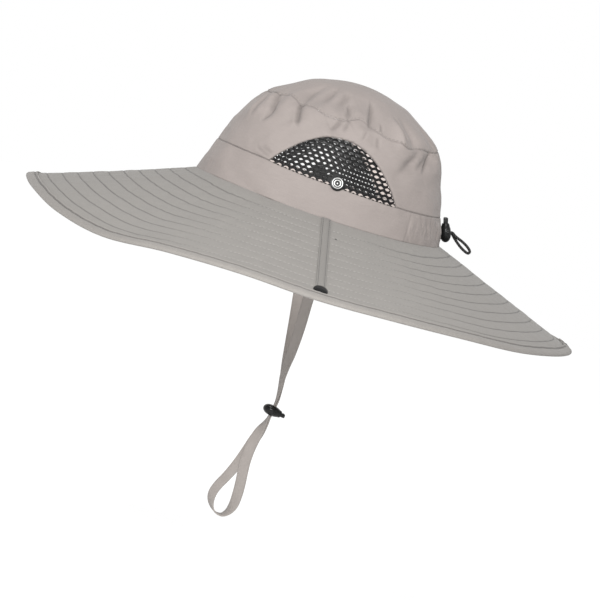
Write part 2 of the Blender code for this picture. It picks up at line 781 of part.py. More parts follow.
def make_chin_strap(parts):
    """The flat strap as a loft of one section that turns and narrows along the chosen route."""
    rows = resample(CHIN_STRAP_ROUTE, STRAP_STEP)
    half_wall = STRAP_WALL / 2
    rings = []
    for i, (x, y, z, turn, width) in enumerate(rows):
        low, high = rows[max(i - 1, 0)], rows[min(i + 1, len(rows) - 1)]
        along = (Vector(high[:3]) - Vector(low[:3])).normalized()
        across = Vector((cos(radians(turn)), sin(radians(turn)), 0))
        across = (across - along * across.dot(along)).normalized()
        out = along.cross(across)
        half = STRAP_WIDTH * width / 2
        section = ((half, half_wall), (-half, half_wall), (-half, -half_wall), (half, -half_wall))
        rings.append([Vector((x, y, z)) + across * a + out * b for a, b in section])
    mesh = loft(rings, caps=True)
    bmesh.ops.recalc_face_normals(mesh, faces=mesh.faces)
    add_object("chin_strap", as_data("chin_strap", mesh), CLOTH, parts)


def make_back_cord(parts):
    """The drawcord's loop at the back, as a round curve along the chosen route."""
    points = resample(BACK_CORD_ROUTE, CORD_STEP)
    curve = bpy.data.curves.new("back_cord", "CURVE")
    curve.dimensions = "3D"
    curve.bevel_depth = CORD_DIAMETER / 2
    curve.bevel_resolution = 2
    curve.use_fill_caps = True
    spline = curve.splines.new("POLY")
    spline.points.add(len(points) - 1)
    for point, place in zip(spline.points, points):
        point.co = (*place, 1)
    add_object("back_cord", curve, BLACK_CORD, parts)


def back_lock_seat():
    """Where the rear lock's slot lies, and its axes: X across, Y out of the crown, Z up."""
    share = share_at(pi, BACK_LOCK_RISE)
    normal = crown_normal(pi, share)
    seat = crown_point(pi, share) + normal * (LOCK_THICKNESS / 2 + PIECE_GAP)
    up = Vector((1, 0, 0)).cross(normal)
    turn = Matrix((Vector((1, 0, 0)), normal, up)).transposed().to_4x4()
    return seat, Matrix.Rotation(radians(BACK_LOCK_LEAN), 4, "X") @ turn


def lock_ring(along, size):
    """One rounded section of a lock body, across its axis."""
    ring = []
    for i in range(LOCK_SIDES):
        turn = 2 * pi * i / LOCK_SIDES
        power = 2 / LOCK_ROUNDNESS
        a = abs(cos(turn)) ** power * (1 if cos(turn) > 0 else -1)
        b = abs(sin(turn)) ** power * (1 if sin(turn) > 0 else -1)
        ring.append((LOCK_WIDTH / 2 * size * a, LOCK_THICKNESS / 2 * size * b, along))
    return ring


def make_lock(name, seat, turn, show, parts, cutters):
    """A cord lock: an egg shaped body and the sprung plunger in its mouth.

    In its own frame the slot is at the origin, the cord runs along Y and the plunger along Z, with
    its end showing past the mouth."""
    mouth = LOCK_LENGTH - LOCK_SLOT_SEAT
    rings = []
    for row in LOCK_SECTIONS:
        rings.append(lock_ring(row.along * (mouth if row.along > 0 else LOCK_SLOT_SEAT), row.size))
    frame = bpy.data.objects.new(name + "_frame", None)
    frame.matrix_world = Matrix.Translation(seat) @ turn
    parts.objects.link(frame)
    body = add_object(name + "_body", as_data(name, loft(rings, caps=True)), BLACK_PLASTIC, parts)
    foot = -LOCK_SLOT_LENGTH / 2 - PLUNGER_FOOT
    floor = foot - PLUNGER_TRAVEL - PIECE_GAP
    depth = mouth + LOCK_LENGTH - floor
    pocket_size = (PLUNGER_WIDTH + 2 * PIECE_GAP, PLUNGER_THICKNESS + 2 * PIECE_GAP, depth)
    pocket_place = Matrix.Translation((0, 0, floor + depth / 2))
    pocket = add_cutter(name + "_pocket", box_mesh(pocket_size, pocket_place), cutters)
    slot_size = (LOCK_SLOT_WIDTH, 2 * LOCK_THICKNESS, LOCK_SLOT_LENGTH)
    slot = add_cutter(name + "_slot", box_mesh(slot_size, Matrix.Identity(4)), cutters)
    window_length = LOCK_SLOT_LENGTH + PLUNGER_TRAVEL
    window_size = (LOCK_SLOT_WIDTH, 2 * LOCK_THICKNESS, window_length)
    window_place = Matrix.Translation((0, 0, PLUNGER_TRAVEL / 2))
    window = add_cutter(name + "_window", box_mesh(window_size, window_place), cutters)
    length = mouth + show - foot
    plunger_size = (PLUNGER_WIDTH, PLUNGER_THICKNESS, length)
    plunger_mesh = box_mesh(plunger_size, Matrix.Translation((0, 0, foot + length / 2)))
    plunger = add_object(name + "_plunger", as_data(name, plunger_mesh), BLACK_PLASTIC, parts)
    edges = plunger.modifiers.new("rounding", "BEVEL")
    edges.width = PLUNGER_THICKNESS * 0.28
    edges.segments = 2
    add_cut(plunger, window)
    add_cut(body, pocket)
    add_cut(body, slot)
    for obj in (body, plunger, pocket, slot, window):
        obj.parent = frame


def make_chin_lock(parts, cutters):
    """The strap's lock, its plunger pointing to the back and a little down."""
    axis = Vector((0, cos(radians(CHIN_LOCK_DIP)), -sin(radians(CHIN_LOCK_DIP))))
    across = Vector((1, 0, 0))
    turn = Matrix((across, axis.cross(across), axis)).transposed().to_4x4()
    make_lock("chin_lock", CHIN_LOCK_PLACE, turn, CHIN_PLUNGER_SHOW, parts, cutters)


def make_back_lock(parts, cutters):
    """The drawcord's lock against the back of the band, its plunger pointing up."""
    seat, turn = back_lock_seat()
    make_lock("back_lock", seat, turn, BACK_PLUNGER_SHOW, parts, cutters)


def main():
    clear_scene()
    parts = new_collection("wide_brim_fishing_hat")
    cutters = new_collection("cutters")
    make_band(parts, cutters)
    make_crown_side(parts, cutters)
    make_crown_top(parts)
    make_brim(parts)
    make_binding(parts)
    for word, side in (("left", 1), ("right", -1)):
        make_vent_net("vent_net_" + word, side, parts, cutters)
        make_snap_socket("snap_socket_" + word, side, parts)
        make_tab("brim_tab_" + word, side, parts)
        make_snap_stud("snap_stud_" + word, side, parts)
    make_chin_strap(parts)
    make_chin_lock(parts, cutters)
    make_back_cord(parts)
    make_back_lock(parts, cutters)


main()
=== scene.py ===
"""Looks of the wide brim fishing hat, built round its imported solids.

Metres, +Z up. The front of the hat is at -Y and the wearer's left is at +X. Angles round the hat
start at the front and grow towards the wearer's left. A share of the crown or of the brim is 0 at
the seam between them and 1 at the crown's top or at the brim's edge."""

from collections import namedtuple
from math import cos, pi, radians, sin

import bmesh
import bpy
import numpy as np
from mathutils import Matrix, Vector


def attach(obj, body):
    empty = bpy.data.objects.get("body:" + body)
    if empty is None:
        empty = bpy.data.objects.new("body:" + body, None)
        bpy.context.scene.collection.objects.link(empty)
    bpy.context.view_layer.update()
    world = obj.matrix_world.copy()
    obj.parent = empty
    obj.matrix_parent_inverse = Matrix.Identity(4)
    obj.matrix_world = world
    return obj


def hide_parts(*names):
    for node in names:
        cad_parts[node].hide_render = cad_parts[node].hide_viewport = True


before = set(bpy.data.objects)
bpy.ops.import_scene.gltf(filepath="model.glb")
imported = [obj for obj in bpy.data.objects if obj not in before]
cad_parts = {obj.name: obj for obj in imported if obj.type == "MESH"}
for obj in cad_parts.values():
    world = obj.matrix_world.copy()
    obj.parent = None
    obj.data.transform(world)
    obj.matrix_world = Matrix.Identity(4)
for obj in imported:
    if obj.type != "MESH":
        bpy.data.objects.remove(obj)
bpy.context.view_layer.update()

# Sizes shared with the part
HEAD_LENGTH, HEAD_WIDTH, CROWN_HEIGHT = 0.208, 0.1706, 0.1047
CROWN_SETBACK, CROWN_WALL, SEAM_DIP = 0.0032, 0.0014, 0.0038
BAND_HEIGHT, TIP_HEIGHT = 0.0277, 0.0765
FOLD_WIDTH, FOLD_DEPTH, FOLD_GIRTH = 0.008, 0.0032, HEAD_LENGTH * 0.36
GATHER_DEPTH, GATHER_REACH, GATHERS = 0.0009, 0.010, 18
BRIM_REACH_LONG, BRIM_REACH_SIDE, BRIM_DROP, BRIM_WALL = 0.1272, 0.1258, 0.0611, 0.0014
BINDING_WIDTH, BINDING_WALL = 0.008, 0.001
VENT_WIDTH, VENT_HEIGHT, VENT_CENTRE, VENT_LAP, VENT_POWER = 0.1065, 0.0365, -0.002, 0.0035, 2.1
SOCKET_FLANGE, SOCKET_FLANGE_WALL, SOCKET_HEIGHT, SOCKET_RISE = 0.0116, 0.0006, 0.0020, 0.0025
STUD_DIAMETER, STUD_HEIGHT = 0.0118, 0.0030
TAB_WIDTH, TAB_WALL = 0.0076, 0.001
STRAP_WIDTH, STRAP_WALL, CORD_DIAMETER = 0.0088, 0.0012, 0.0023
LOCK_LENGTH, LOCK_WIDTH, LOCK_THICKNESS, LOCK_ROUNDNESS = 0.0153, 0.0145, 0.0087, 2.5
LOCK_SLOT_SEAT, LOCK_SLOT_WIDTH, LOCK_SLOT_LENGTH = 0.0081, 0.0056, 0.0034
PLUNGER_WIDTH, PLUNGER_THICKNESS, PLUNGER_TRAVEL, PLUNGER_FOOT = 0.0074, 0.0032, 0.0025, 0.0016
CHIN_PLUNGER_SHOW, BACK_PLUNGER_SHOW = 0.0037, 0.0050
CHIN_LOCK_PLACE, CHIN_LOCK_DIP = Vector((0, 0.0170, -0.1700)), 8
BACK_LOCK_RISE, BACK_LOCK_LEAN = 0.0113, 1.5
PIECE_GAP = 0.0003


def table(columns, *rows):
    """Rows of numbers as tuples with named columns."""
    row = namedtuple("Row", columns)
    return [row(*values) for values in rows]


CROWN_SECTIONS = table(
    "height length width back",
    (0.000, 1.000, 1.000, 0.00), (0.130, 0.962, 0.965, 0.08), (0.267, 0.914, 0.925, 0.14),
    (0.420, 0.864, 0.872, 0.10), (0.540, 0.815, 0.826, 0.41), (0.640, 0.768, 0.775, 0.80),
    (0.723, 0.703, 0.705, 1.00), (0.783, 0.624, 0.625, 1.05), (0.831, 0.547, 0.550, 1.05),
    (0.884, 0.455, 0.460, 1.03), (0.926, 0.373, 0.380, 1.00), (0.955, 0.284, 0.290, 1.00),
    (0.979, 0.195, 0.200, 1.00), (1.000, 0.000, 0.000, 1.00),
)

# Round the hat. The first and last rows mirror their neighbours, so that the curves run level there.
STATIONS = table(
    "angle dip band tip drop hollow",
    (-15, 0.04, 0.998, 1.000, 0.840, 0.08), (0, 0.00, 1.000, 1.000, 0.772, 0.08),
    (15, 0.04, 0.998, 1.000, 0.840, 0.08), (30, 0.14, 0.997, 1.000, 0.964, 0.08),
    (45, 0.33, 0.993, 0.998, 1.016, 0.07), (60, 0.62, 0.980, 0.995, 0.896, 0.06),
    (75, 0.88, 0.965, 0.995, 0.829, 0.05), (90, 1.00, 0.953, 0.990, 0.834, 0.05),
    (105, 0.98, 0.920, 0.965, 0.802, 0.04), (120, 0.86, 0.890, 0.945, 0.781, 0.03),
    (135, 0.62, 0.865, 0.940, 0.786, 0.02), (150, 0.37, 0.845, 0.940, 0.760, 0.01),
    (165, 0.12, 0.838, 0.948, 0.747, 0.00), (180, 0.00, 0.834, 0.955, 0.754, 0.00),
    (195, 0.12, 0.838, 0.948, 0.747, 0.00),
)

# Soft folds in the crown, which the solids have too, from one place on it to another
FOLD_COLUMNS = "angle height to_angle to_height width depth"
FOLDS = table(
    FOLD_COLUMNS,
    (20, 0.71, 29, 0.49, 1.15, -0.80), (31, 0.72, 38, 0.51, 0.75, 0.80),
    (49, 0.72, 57, 0.56, 0.80, 0.85), (50, 0.73, 40, 0.90, 0.90, 0.80),
    (55, 0.75, 64, 0.90, 0.90, 0.70), (72, 0.78, 76, 0.92, 0.80, 0.60),
    (80, 0.85, 84, 0.70, 0.70, 0.65), (83, 0.72, 75, 0.60, 0.80, 0.60),
    (98, 0.71, 99, 0.92, 0.85, 1.00), (103, 0.69, 103, 0.58, 0.80, 0.45),
    (124, 0.67, 118, 0.85, 0.90, -0.70), (131, 0.68, 126, 0.86, 0.80, 0.75),
    (147, 0.67, 118, 0.46, 0.90, 0.65), (153, 0.67, 134, 0.50, 0.80, 0.70),
    (155, 0.69, 160, 0.84, 0.80, 0.75),
)
RIGHT_SIDE_TURN, RIGHT_SIDE_DEPTH = 6, 0.85

# Sharper creases that only the cloth's own surface shows
CREASES = table(
    FOLD_COLUMNS,
    (26.3, 0.735, 32.5, 0.675, 0.24, 0.32), (31.5, 0.690, 36.0, 0.600, 0.26, 0.36),
    (35.6, 0.640, 36.5, 0.490, 0.26, 0.30), (22.5, 0.700, 25.6, 0.480, 0.38, 0.28),
    (48.5, 0.748, 52.0, 0.700, 0.30, 0.30), (50.0, 0.720, 59.5, 0.545, 0.20, 0.42),
    (44.0, 0.850, 51.5, 0.740, 0.36, 0.15), (59.5, 0.920, 61.0, 0.780, 0.50, 0.16),
    (73.8, 0.900, 72.0, 0.790, 0.40, 0.16), (79.5, 0.830, 84.0, 0.745, 0.20, 0.26),
    (79.5, 0.712, 76.5, 0.605, 0.18, 0.24), (83.8, 0.730, 83.4, 0.625, 0.18, 0.20),
    (99.4, 0.890, 97.0, 0.740, 0.26, 0.27), (97.0, 0.790, 98.0, 0.720, 0.18, 0.22),
    (105.8, 0.765, 105.4, 0.710, 0.18, 0.22), (96.3, 0.690, 95.0, 0.610, 0.16, 0.12),
    (104.4, 0.675, 105.6, 0.580, 0.16, 0.14), (120.4, 0.825, 125.0, 0.650, 0.28, 0.40),
    (150.3, 0.678, 137.5, 0.490, 0.22, 0.42), (146.0, 0.662, 132.5, 0.510, 0.26, 0.24),
    (134.5, 0.658, 118.5, 0.440, 0.34, 0.20), (43.8, 0.321, 54.5, 0.278, 0.16, 0.26),
    (46.5, 0.340, 54.8, 0.303, 0.14, 0.18),
)

# How far the seam under the crown's top wanders up in the cloth, and how much painted shade it gets
TOP_SEAM = table(
    "angle rise dark",
    (0, 0.0000, 0.80), (12, 0.0003, 0.80), (26, 0.0008, 0.80), (32.5, 0.0027, 0.40),
    (42.5, 0.0026, 0.25), (50, 0.0014, 0.50), (57.5, 0.0023, 0.30), (66, 0.0008, 0.30),
    (75, 0.0004, 0.30), (83.5, 0.0031, 0.45), (91, 0.0068, 0.20), (97.5, 0.0054, 0.30),
    (103, 0.0032, 0.35), (110, 0.0014, 0.35), (117.5, 0.0009, 0.35), (124.4, -0.0013, 0.45),
    (135, 0.0010, 0.25), (145, 0.0012, 0.60), (156, 0.0003, 0.80), (180, 0.0000, 0.80),
)

# Stitched rows of the brim: the shares where the innermost and outermost lie, and how much painted
# shade the rows get, which also sets how deep their stitches sink
ROW_EDGES = table(
    "angle inner outer dark",
    (0, 0.066, 0.886, 1.00), (30, 0.078, 0.876, 1.00), (50, 0.106, 0.884, 0.95),
    (62, 0.113, 0.880, 0.55), (75, 0.114, 0.872, 0.15), (92, 0.116, 0.870, 0.12),
    (108, 0.130, 0.886, 0.45), (125, 0.140, 0.900, 0.90), (145, 0.110, 0.888, 1.00),
    (165, 0.082, 0.876, 1.00), (180, 0.076, 0.872, 1.00),
)

LOCK_SECTIONS = table(
    "along size",
    (-1.00, 0.22), (-0.93, 0.46), (-0.78, 0.72), (-0.50, 0.93),
    (-0.10, 1.00), (0.35, 0.93), (0.75, 0.74), (1.00, 0.64),
)

CHIN_STRAP_ROUTE = table(
    "x y z turn width",
    (0.0810, 0.0070, 0.0030, 90, 1), (0.0817, 0.0072, -0.0060, 90, 1),
    (0.0788, 0.0076, -0.0145, 90, 1), (0.0690, 0.0084, -0.0305, 90, 1),
    (0.0580, 0.0094, -0.0490, 88, 1), (0.0450, 0.0108, -0.0715, 82, 1),
    (0.0329, 0.0130, -0.0950, 70, 1), (0.0214, 0.0142, -0.1174, 50, 1),
    (0.0154, 0.0143, -0.1290, 34, 1), (0.0096, 0.0150, -0.1403, 22, 0.98),
    (0.0042, 0.0164, -0.1510, 12, 0.84), (0.0006, 0.0172, -0.1600, 4, 0.64),
    (0.0000, 0.0170, -0.1650, 0, 0.57), (0.0000, 0.01555, -0.1750, 0, 0.57),
    (0.0006, 0.0142, -0.1812, 22, 0.74), (0.0011, 0.0121, -0.1885, 55, 0.94),
    (0.0013, 0.0101, -0.1975, 80, 1), (0.0013, 0.0090, -0.2070, 84, 1),
    (0.0013, 0.0088, -0.2160, 84, 1), (0.0012, 0.0096, -0.2260, 82, 1),
    (0.0010, 0.0107, -0.2360, 78, 1), (0.0008, 0.0112, -0.2460, 68, 1),
    (0.0006, 0.0107, -0.2540, 52, 1), (0.0003, 0.0084, -0.2602, 30, 1),
    (0.0000, 0.0042, -0.2643, 14, 1), (-0.0003, -0.0008, -0.2643, 8, 1),
    (-0.0005, -0.0049, -0.2613, 14, 1), (-0.0008, -0.0078, -0.2560, 30, 1),
    (-0.0010, -0.0085, -0.2500, 44, 1), (-0.0012, -0.0066, -0.2430, 50, 1),
    (-0.0013, -0.0025, -0.2345, 54, 1), (-0.0014, 0.0014, -0.2258, 60, 1),
    (-0.0014, 0.0050, -0.2160, 72, 1), (-0.0014, 0.0078, -0.2062, 82, 1),
    (-0.0013, 0.0103, -0.1970, 80, 1), (-0.0011, 0.0131, -0.1885, 56, 0.94),
    (-0.0006, 0.0157, -0.1814, 22, 0.74), (0.0000, 0.01705, -0.1750, 0, 0.57),
    (0.0000, 0.0185, -0.1650, 0, 0.57), (-0.0006, 0.0189, -0.1600, 4, 0.64),
    (-0.0042, 0.0183, -0.1510, 12, 0.84), (-0.0096, 0.0172, -0.1403, 22, 0.98),
    (-0.0154, 0.0163, -0.1290, 34, 1), (-0.0214, 0.0157, -0.1174, 50, 1),
    (-0.0329, 0.0138, -0.0950, 70, 1), (-0.0450, 0.0112, -0.0715, 82, 1),
    (-0.0580, 0.0096, -0.0490, 88, 1), (-0.0690, 0.0084, -0.0305, 90, 1),
    (-0.0788, 0.0076, -0.0145, 90, 1), (-0.0817, 0.0072, -0.0060, 90, 1),
    (-0.0810, 0.0070, 0.0030, 90, 1),
)
BACK_CORD_ROUTE = table(
    "x y z",
    (0.00130, 0.0988, 0.01030), (0.00130, 0.1017, 0.01122), (0.00130, 0.1055, 0.01243),
    (0.00130, 0.1093, 0.01362), (0.00130, 0.1111, 0.01385), (0.00130, 0.1130, 0.01260),
    (0.00120, 0.1161, 0.01120), (0.00100, 0.1202, 0.00980), (0.00060, 0.1246, 0.00780),
    (0.00020, 0.1283, 0.00530), (0.00000, 0.1297, 0.00330), (-0.00010, 0.1287, 0.00190),
    (-0.00030, 0.1260, 0.00250), (-0.00070, 0.1220, 0.00440), (-0.00110, 0.1183, 0.00690),
    (-0.00130, 0.1150, 0.00950), (-0.00130, 0.1122, 0.01200), (-0.00130, 0.1109, 0.01350),
    (-0.00130, 0.1093, 0.01362), (-0.00130, 0.1055, 0.01243), (-0.00130, 0.1017, 0.01122),
    (-0.00130, 0.0988, 0.01030),
)

# The photograph's camera
CAMERA_TURN, CAMERA_RISE, CAMERA_ROLL = radians(90 - 6.01), radians(2.37), radians(18.37)
CAMERA_DISTANCE, FOCAL_PIXELS, IMAGE_PIXELS = 2.11149, 2600, 600
ORIGIN_PIXEL = (318.38, 206.89)

ROWS, FIRST_ROW, LAST_ROW = 10, 0.07, 0.874
ROW_WAYS = np.linspace(FIRST_ROW, LAST_ROW, ROWS)
ROW_OFFSETS = (-0.0018, -0.0008, -0.0004, 0, 0.0004, 0.0008, 0.0018)
GROOVE_DEPTH, GROOVE_WIDTH, ROW_PUFF, BRIM_SLOPE = 0.00032, 0.00048, 0.00014, 0.137
STITCH_PITCH, STITCH_LENGTH, STITCH_WIDTH, STITCH_HEIGHT = 0.0034, 0.0023, 0.00052, 0.00030
JOIN_HALF = 0.026
CROWN_COLUMNS, BRIM_COLUMNS = 840, 560
CROWN_ANGLES = np.arange(CROWN_COLUMNS) * 2 * pi / CROWN_COLUMNS
BRIM_ANGLES = np.arange(BRIM_COLUMNS) * 2 * pi / BRIM_COLUMNS
CASING_ANGLE = 128.5
SEAM_ROLL, SEAM_WIDTH = 0.0005, 0.00045
EDGE_STEPS = np.array((0, 0.0002, 0.0004, 0.0007, 0.0011, 0.0017, 0.0026))
NET_PITCH = np.array((0.0057, 0.0035))
NET_HOLE = np.array((0.0044, 0.0023))
NET_LOWER_LAP = 0.0015
SOCKET_RINGS = table(
    "kind outer inner sunk", ("outer", 0.0046, 0.0035, 0.0005), ("inner", 0.0031, 0.0019, 0.0009)
)

# ---------------------------------------------------------------- curves and surfaces


def smooth(places, values, at):
    """Values at places on a smooth curve through the values given at places."""
    places, values = np.asarray(places, float), np.asarray(values, float)
    at = np.asarray(at, float)
    last = len(places) - 1
    i = np.clip(np.searchsorted(places, at, side="right") - 1, 0, last - 1)

    def slope(k):
        low, high = np.maximum(k - 1, 0), np.minimum(k + 1, last)
        return (values[high] - values[low]) / (places[high] - places[low])

    span = places[i + 1] - places[i]
    s = (at - places[i]) / span
    start = (1 + 2 * s) * (1 - s) ** 2 * values[i] + s * (1 - s) ** 2 * span * slope(i)
    end = s * s * (3 - 2 * s) * values[i + 1] + s * s * (s - 1) * span * slope(i + 1)
    return start + end


def column_of(rows, column):
    return [getattr(row, column) for row in rows]


def wrapped(angle):
    return (angle + pi) % (2 * pi) - pi


def from_table(rows, column, angle):
    """A column's value at an angle, the same on both sides of the hat."""
    at = np.degrees(np.abs(wrapped(angle)))
    return smooth(column_of(rows, "angle"), column_of(rows, column), at)


def seam_height(angle):
    return -SEAM_DIP * from_table(STATIONS, "dip", angle)


def share_at(angle, rise):
    return rise / (CROWN_HEIGHT - seam_height(angle))


def band_rise(angle):
    return BAND_HEIGHT * from_table(STATIONS, "band", angle)


def tip_rise(angle):
    return TIP_HEIGHT * from_table(STATIONS, "tip", angle) + from_table(TOP_SEAM, "rise", angle)


def crown_section(share):
    """Half the crown's length and width at a share of its height, and how far back it lies."""
    place, places = np.arcsin(np.clip(share, 0, 1)), np.arcsin(column_of(CROWN_SECTIONS, "height"))
    length, width, back = (
        smooth(places, column_of(CROWN_SECTIONS, name), place) for name in ("length", "width", "back")
    )
    return HEAD_LENGTH / 2 * length, HEAD_WIDTH / 2 * width, CROWN_SETBACK * back


def unit(v):
    return v / np.maximum(np.linalg.norm(v, axis=-1, keepdims=True), 1e-12)


def plain_crown(angle, share):
    length, width, back = crown_section(share)
    seam = seam_height(angle)
    z = seam + share * (CROWN_HEIGHT - seam)
    return np.stack([width * np.sin(angle), back - length * np.cos(angle), z], -1)


def crown_normal(angle, share):
    share = np.minimum(share, 0.985)
    along = plain_crown(angle + 0.01, share) - plain_crown(angle - 0.01, share)
    up = plain_crown(angle, share + 0.004) - plain_crown(angle, np.maximum(share - 0.004, 0))
    return unit(np.cross(along, up))


def fold_place(fold, side, angle, share):
    """The distance across a fold, in its own widths, and how much of it is left there."""
    shift = radians(RIGHT_SIDE_TURN) if side < 0 else 0
    start, end = side * radians(fold.angle) - shift, side * radians(fold.to_angle) - shift
    run_x, run_y = (end - start) * FOLD_GIRTH, (fold.to_height - fold.height) * CROWN_HEIGHT
    here_x, here_y = wrapped(angle - start) * FOLD_GIRTH, (share - fold.height) * CROWN_HEIGHT
    length = np.hypot(run_x, run_y)
    along = (here_x * run_x + here_y * run_y) / length ** 2
    across = (here_x * run_y - here_y * run_x) / length / (FOLD_WIDTH * fold.width)
    return across, np.exp(-(((along - 0.4) / 0.42) ** 4))


def fold_dent(fold, side, angle, share):
    across, taper = fold_place(fold, side, angle, share)
    return FOLD_DEPTH * fold.depth * taper * np.exp(-(across ** 2))


def crease_dent(fold, side, angle, share):
    """A sharp crease with a low ridge along one side of it."""
    across, taper = fold_place(fold, side, angle, share)
    shape = np.exp(-(across ** 2)) - 0.5 * np.exp(-(((across - 2.0) / 1.4) ** 2))
    return FOLD_DEPTH * fold.depth * taper * shape


def between_corners(values, i, j, next_i, next_j, a, b):
    """Values inside the cells of a grid, a and b of the way across and up, on smooth steps."""
    a, b = a * a * (3 - 2 * a), b * b * (3 - 2 * b)
    low = values[j, i] * (1 - a) + values[j, next_i] * a
    high = values[next_j, i] * (1 - a) + values[next_j, next_i] * a
    return low * (1 - b) + high * b


def noise(u, v, across, up, seed):
    """Smooth noise from -1 to 1, periodic in u over 1, on a grid of across by up cells."""
    values = np.random.default_rng(seed).uniform(-1, 1, (up + 2, across))
    x, y = (u % 1) * across, np.clip(v, 0, 1) * up
    i, j = np.floor(x).astype(int), np.floor(y).astype(int)
    a, b, j = x - i, y - j, np.minimum(j, up)
    return between_corners(values, i % across, j, (i + 1) % across, j + 1, a, b)


def field(plain, cell, seed, size=64):
    """Smooth noise from -1 to 1 over the crown's top, seen from above."""
    values = np.random.default_rng(seed).uniform(-1, 1, (size, size))
    x, y = plain[..., 0] / cell, (plain[..., 1] + 1) / cell
    i, j = np.floor(x).astype(int), np.floor(y).astype(int)
    return between_corners(
        values, i % size, j % size, (i + 1) % size, (j + 1) % size, x - i, y - j
    )


def crown_dent(angle, share):
    dent = sum(fold_dent(fold, 1, angle, share) for fold in FOLDS)
    dent = dent + RIGHT_SIDE_DEPTH * sum(fold_dent(fold, -1, angle, share) for fold in FOLDS)
    off_seam = (share - share_at(angle, tip_rise(angle))) * CROWN_HEIGHT / GATHER_REACH
    return dent - GATHER_DEPTH / 2 * np.cos(GATHERS * angle) * np.exp(-(off_seam ** 2))


def gathers(angle, share):
    """Thin pleats that run out from the seam under the crown's top, from 0 to 1."""
    u = angle / (2 * pi)
    off = (share - share_at(angle, tip_rise(angle))) * CROWN_HEIGHT
    lines = noise(u + 0.25 * share, share, 64, 3, 51)
    patches = np.clip(0.2 + 1.2 * noise(u, share * 0, 22, 1, 52), 0, 1)
    return np.exp(-((lines / 0.16) ** 2)) * patches * np.exp(-((off / 0.010) ** 2))


def painted_crease_shade(angle, share):
    """How much painted shade the folds, creases and gathers put on the cloth."""
    shade = 0.25 * gathers(angle, share)
    for side in (1, -1):
        for fold in FOLDS:
            shade = shade + 0.09 * fold_dent(fold, side, angle, share) / FOLD_DEPTH
        for fold in CREASES:
            across, taper = fold_place(fold, side, angle, share)
            shade = shade + 1.5 * fold.depth * taper * np.exp(-((across / 0.8) ** 2))
    return np.clip(shade, -0.1, 0.85)


def fine_dent(angle, share):
    """The sharp creases, gathers and soft wrinkles of the cloth's own surface."""
    dent = sum(crease_dent(fold, side, angle, share) for fold in CREASES for side in (1, -1))
    u, plain = angle / (2 * pi), plain_crown(angle, share)
    flat = np.clip((share - 0.76) / 0.14, 0, 1)
    soft = noise(u + 0.1 * share, share, 34, 9, 7) * (1 - flat) + field(plain, 0.019, 9) * flat
    small = noise(u, share, 90, 26, 8) * (1 - flat) + field(plain, 0.006, 10) * flat
    return 1.5 * dent + 0.0007 * gathers(angle, share) + 0.00085 * soft + 0.00022 * small


def crown_surface(angle, share, inwards=0.0, detail=1.0):
    fade = np.minimum(1, (1 - share) / 0.1)
    off = (crown_dent(angle, share) + detail * fine_dent(angle, share)) * fade + inwards
    return plain_crown(angle, share) - crown_normal(angle, share) * off[..., None]


def crown_at(y, share_of, turns=6):
    """The angle on the left of the crown with this y, and the share that share_of gives there."""
    angle = np.full(np.shape(y), pi / 2)
    for _ in range(turns):
        length, _, back = crown_section(share_of(angle))
        angle = np.arccos(np.clip((back - y) / length, -1, 1))
    return angle, share_of(angle)


def brim_plain(angle, share):
    drop = BRIM_DROP * from_table(STATIONS, "drop", angle) * share
    drop = drop * (1 + from_table(STATIONS, "hollow", angle) * (1 - share))
    half_width = HEAD_WIDTH / 2 + BRIM_REACH_SIDE * share
    half_length = HEAD_LENGTH / 2 + BRIM_REACH_LONG * share
    z = seam_height(angle) - drop
    return np.stack([half_width * np.sin(angle), -half_length * np.cos(angle), z], -1)


def brim_normal(angle, share):
    share = np.clip(share, 0.02, 0.98)
    along = brim_plain(angle + 0.01, share) - brim_plain(angle - 0.01, share)
    out = brim_plain(angle, share + 0.01) - brim_plain(angle, share - 0.01)
    return unit(np.cross(out, along))


def brim_surface(angle, share, lift=0.0):
    lift = np.broadcast_to(lift, np.shape(angle))
    return brim_plain(angle, share) + brim_normal(angle, share) * lift[..., None]


def brim_share(angle, way):
    """The share of the brim's reach at a way across it, on which the stitched rows lie evenly."""
    inner, outer = from_table(ROW_EDGES, "inner", angle), from_table(ROW_EDGES, "outer", angle)
    middle = inner + (way - FIRST_ROW) / (LAST_ROW - FIRST_ROW) * (outer - inner)
    last = outer + (way - LAST_ROW) / (1 - LAST_ROW) * (1 - outer)
    return np.where(way < FIRST_ROW, way / FIRST_ROW * inner, np.where(way < LAST_ROW, middle, last))


def row_groove(way):
    """How deep the quilting of the brim is at a way across it, and how puffed between rows."""
    d = np.abs(way[..., None] - ROW_WAYS).min(-1) * BRIM_SLOPE
    return np.exp(-((d / GROOVE_WIDTH) ** 2)), np.sin(np.clip(d / 0.006, 0, 1) * pi / 2)


# ---------------------------------------------------------------- materials


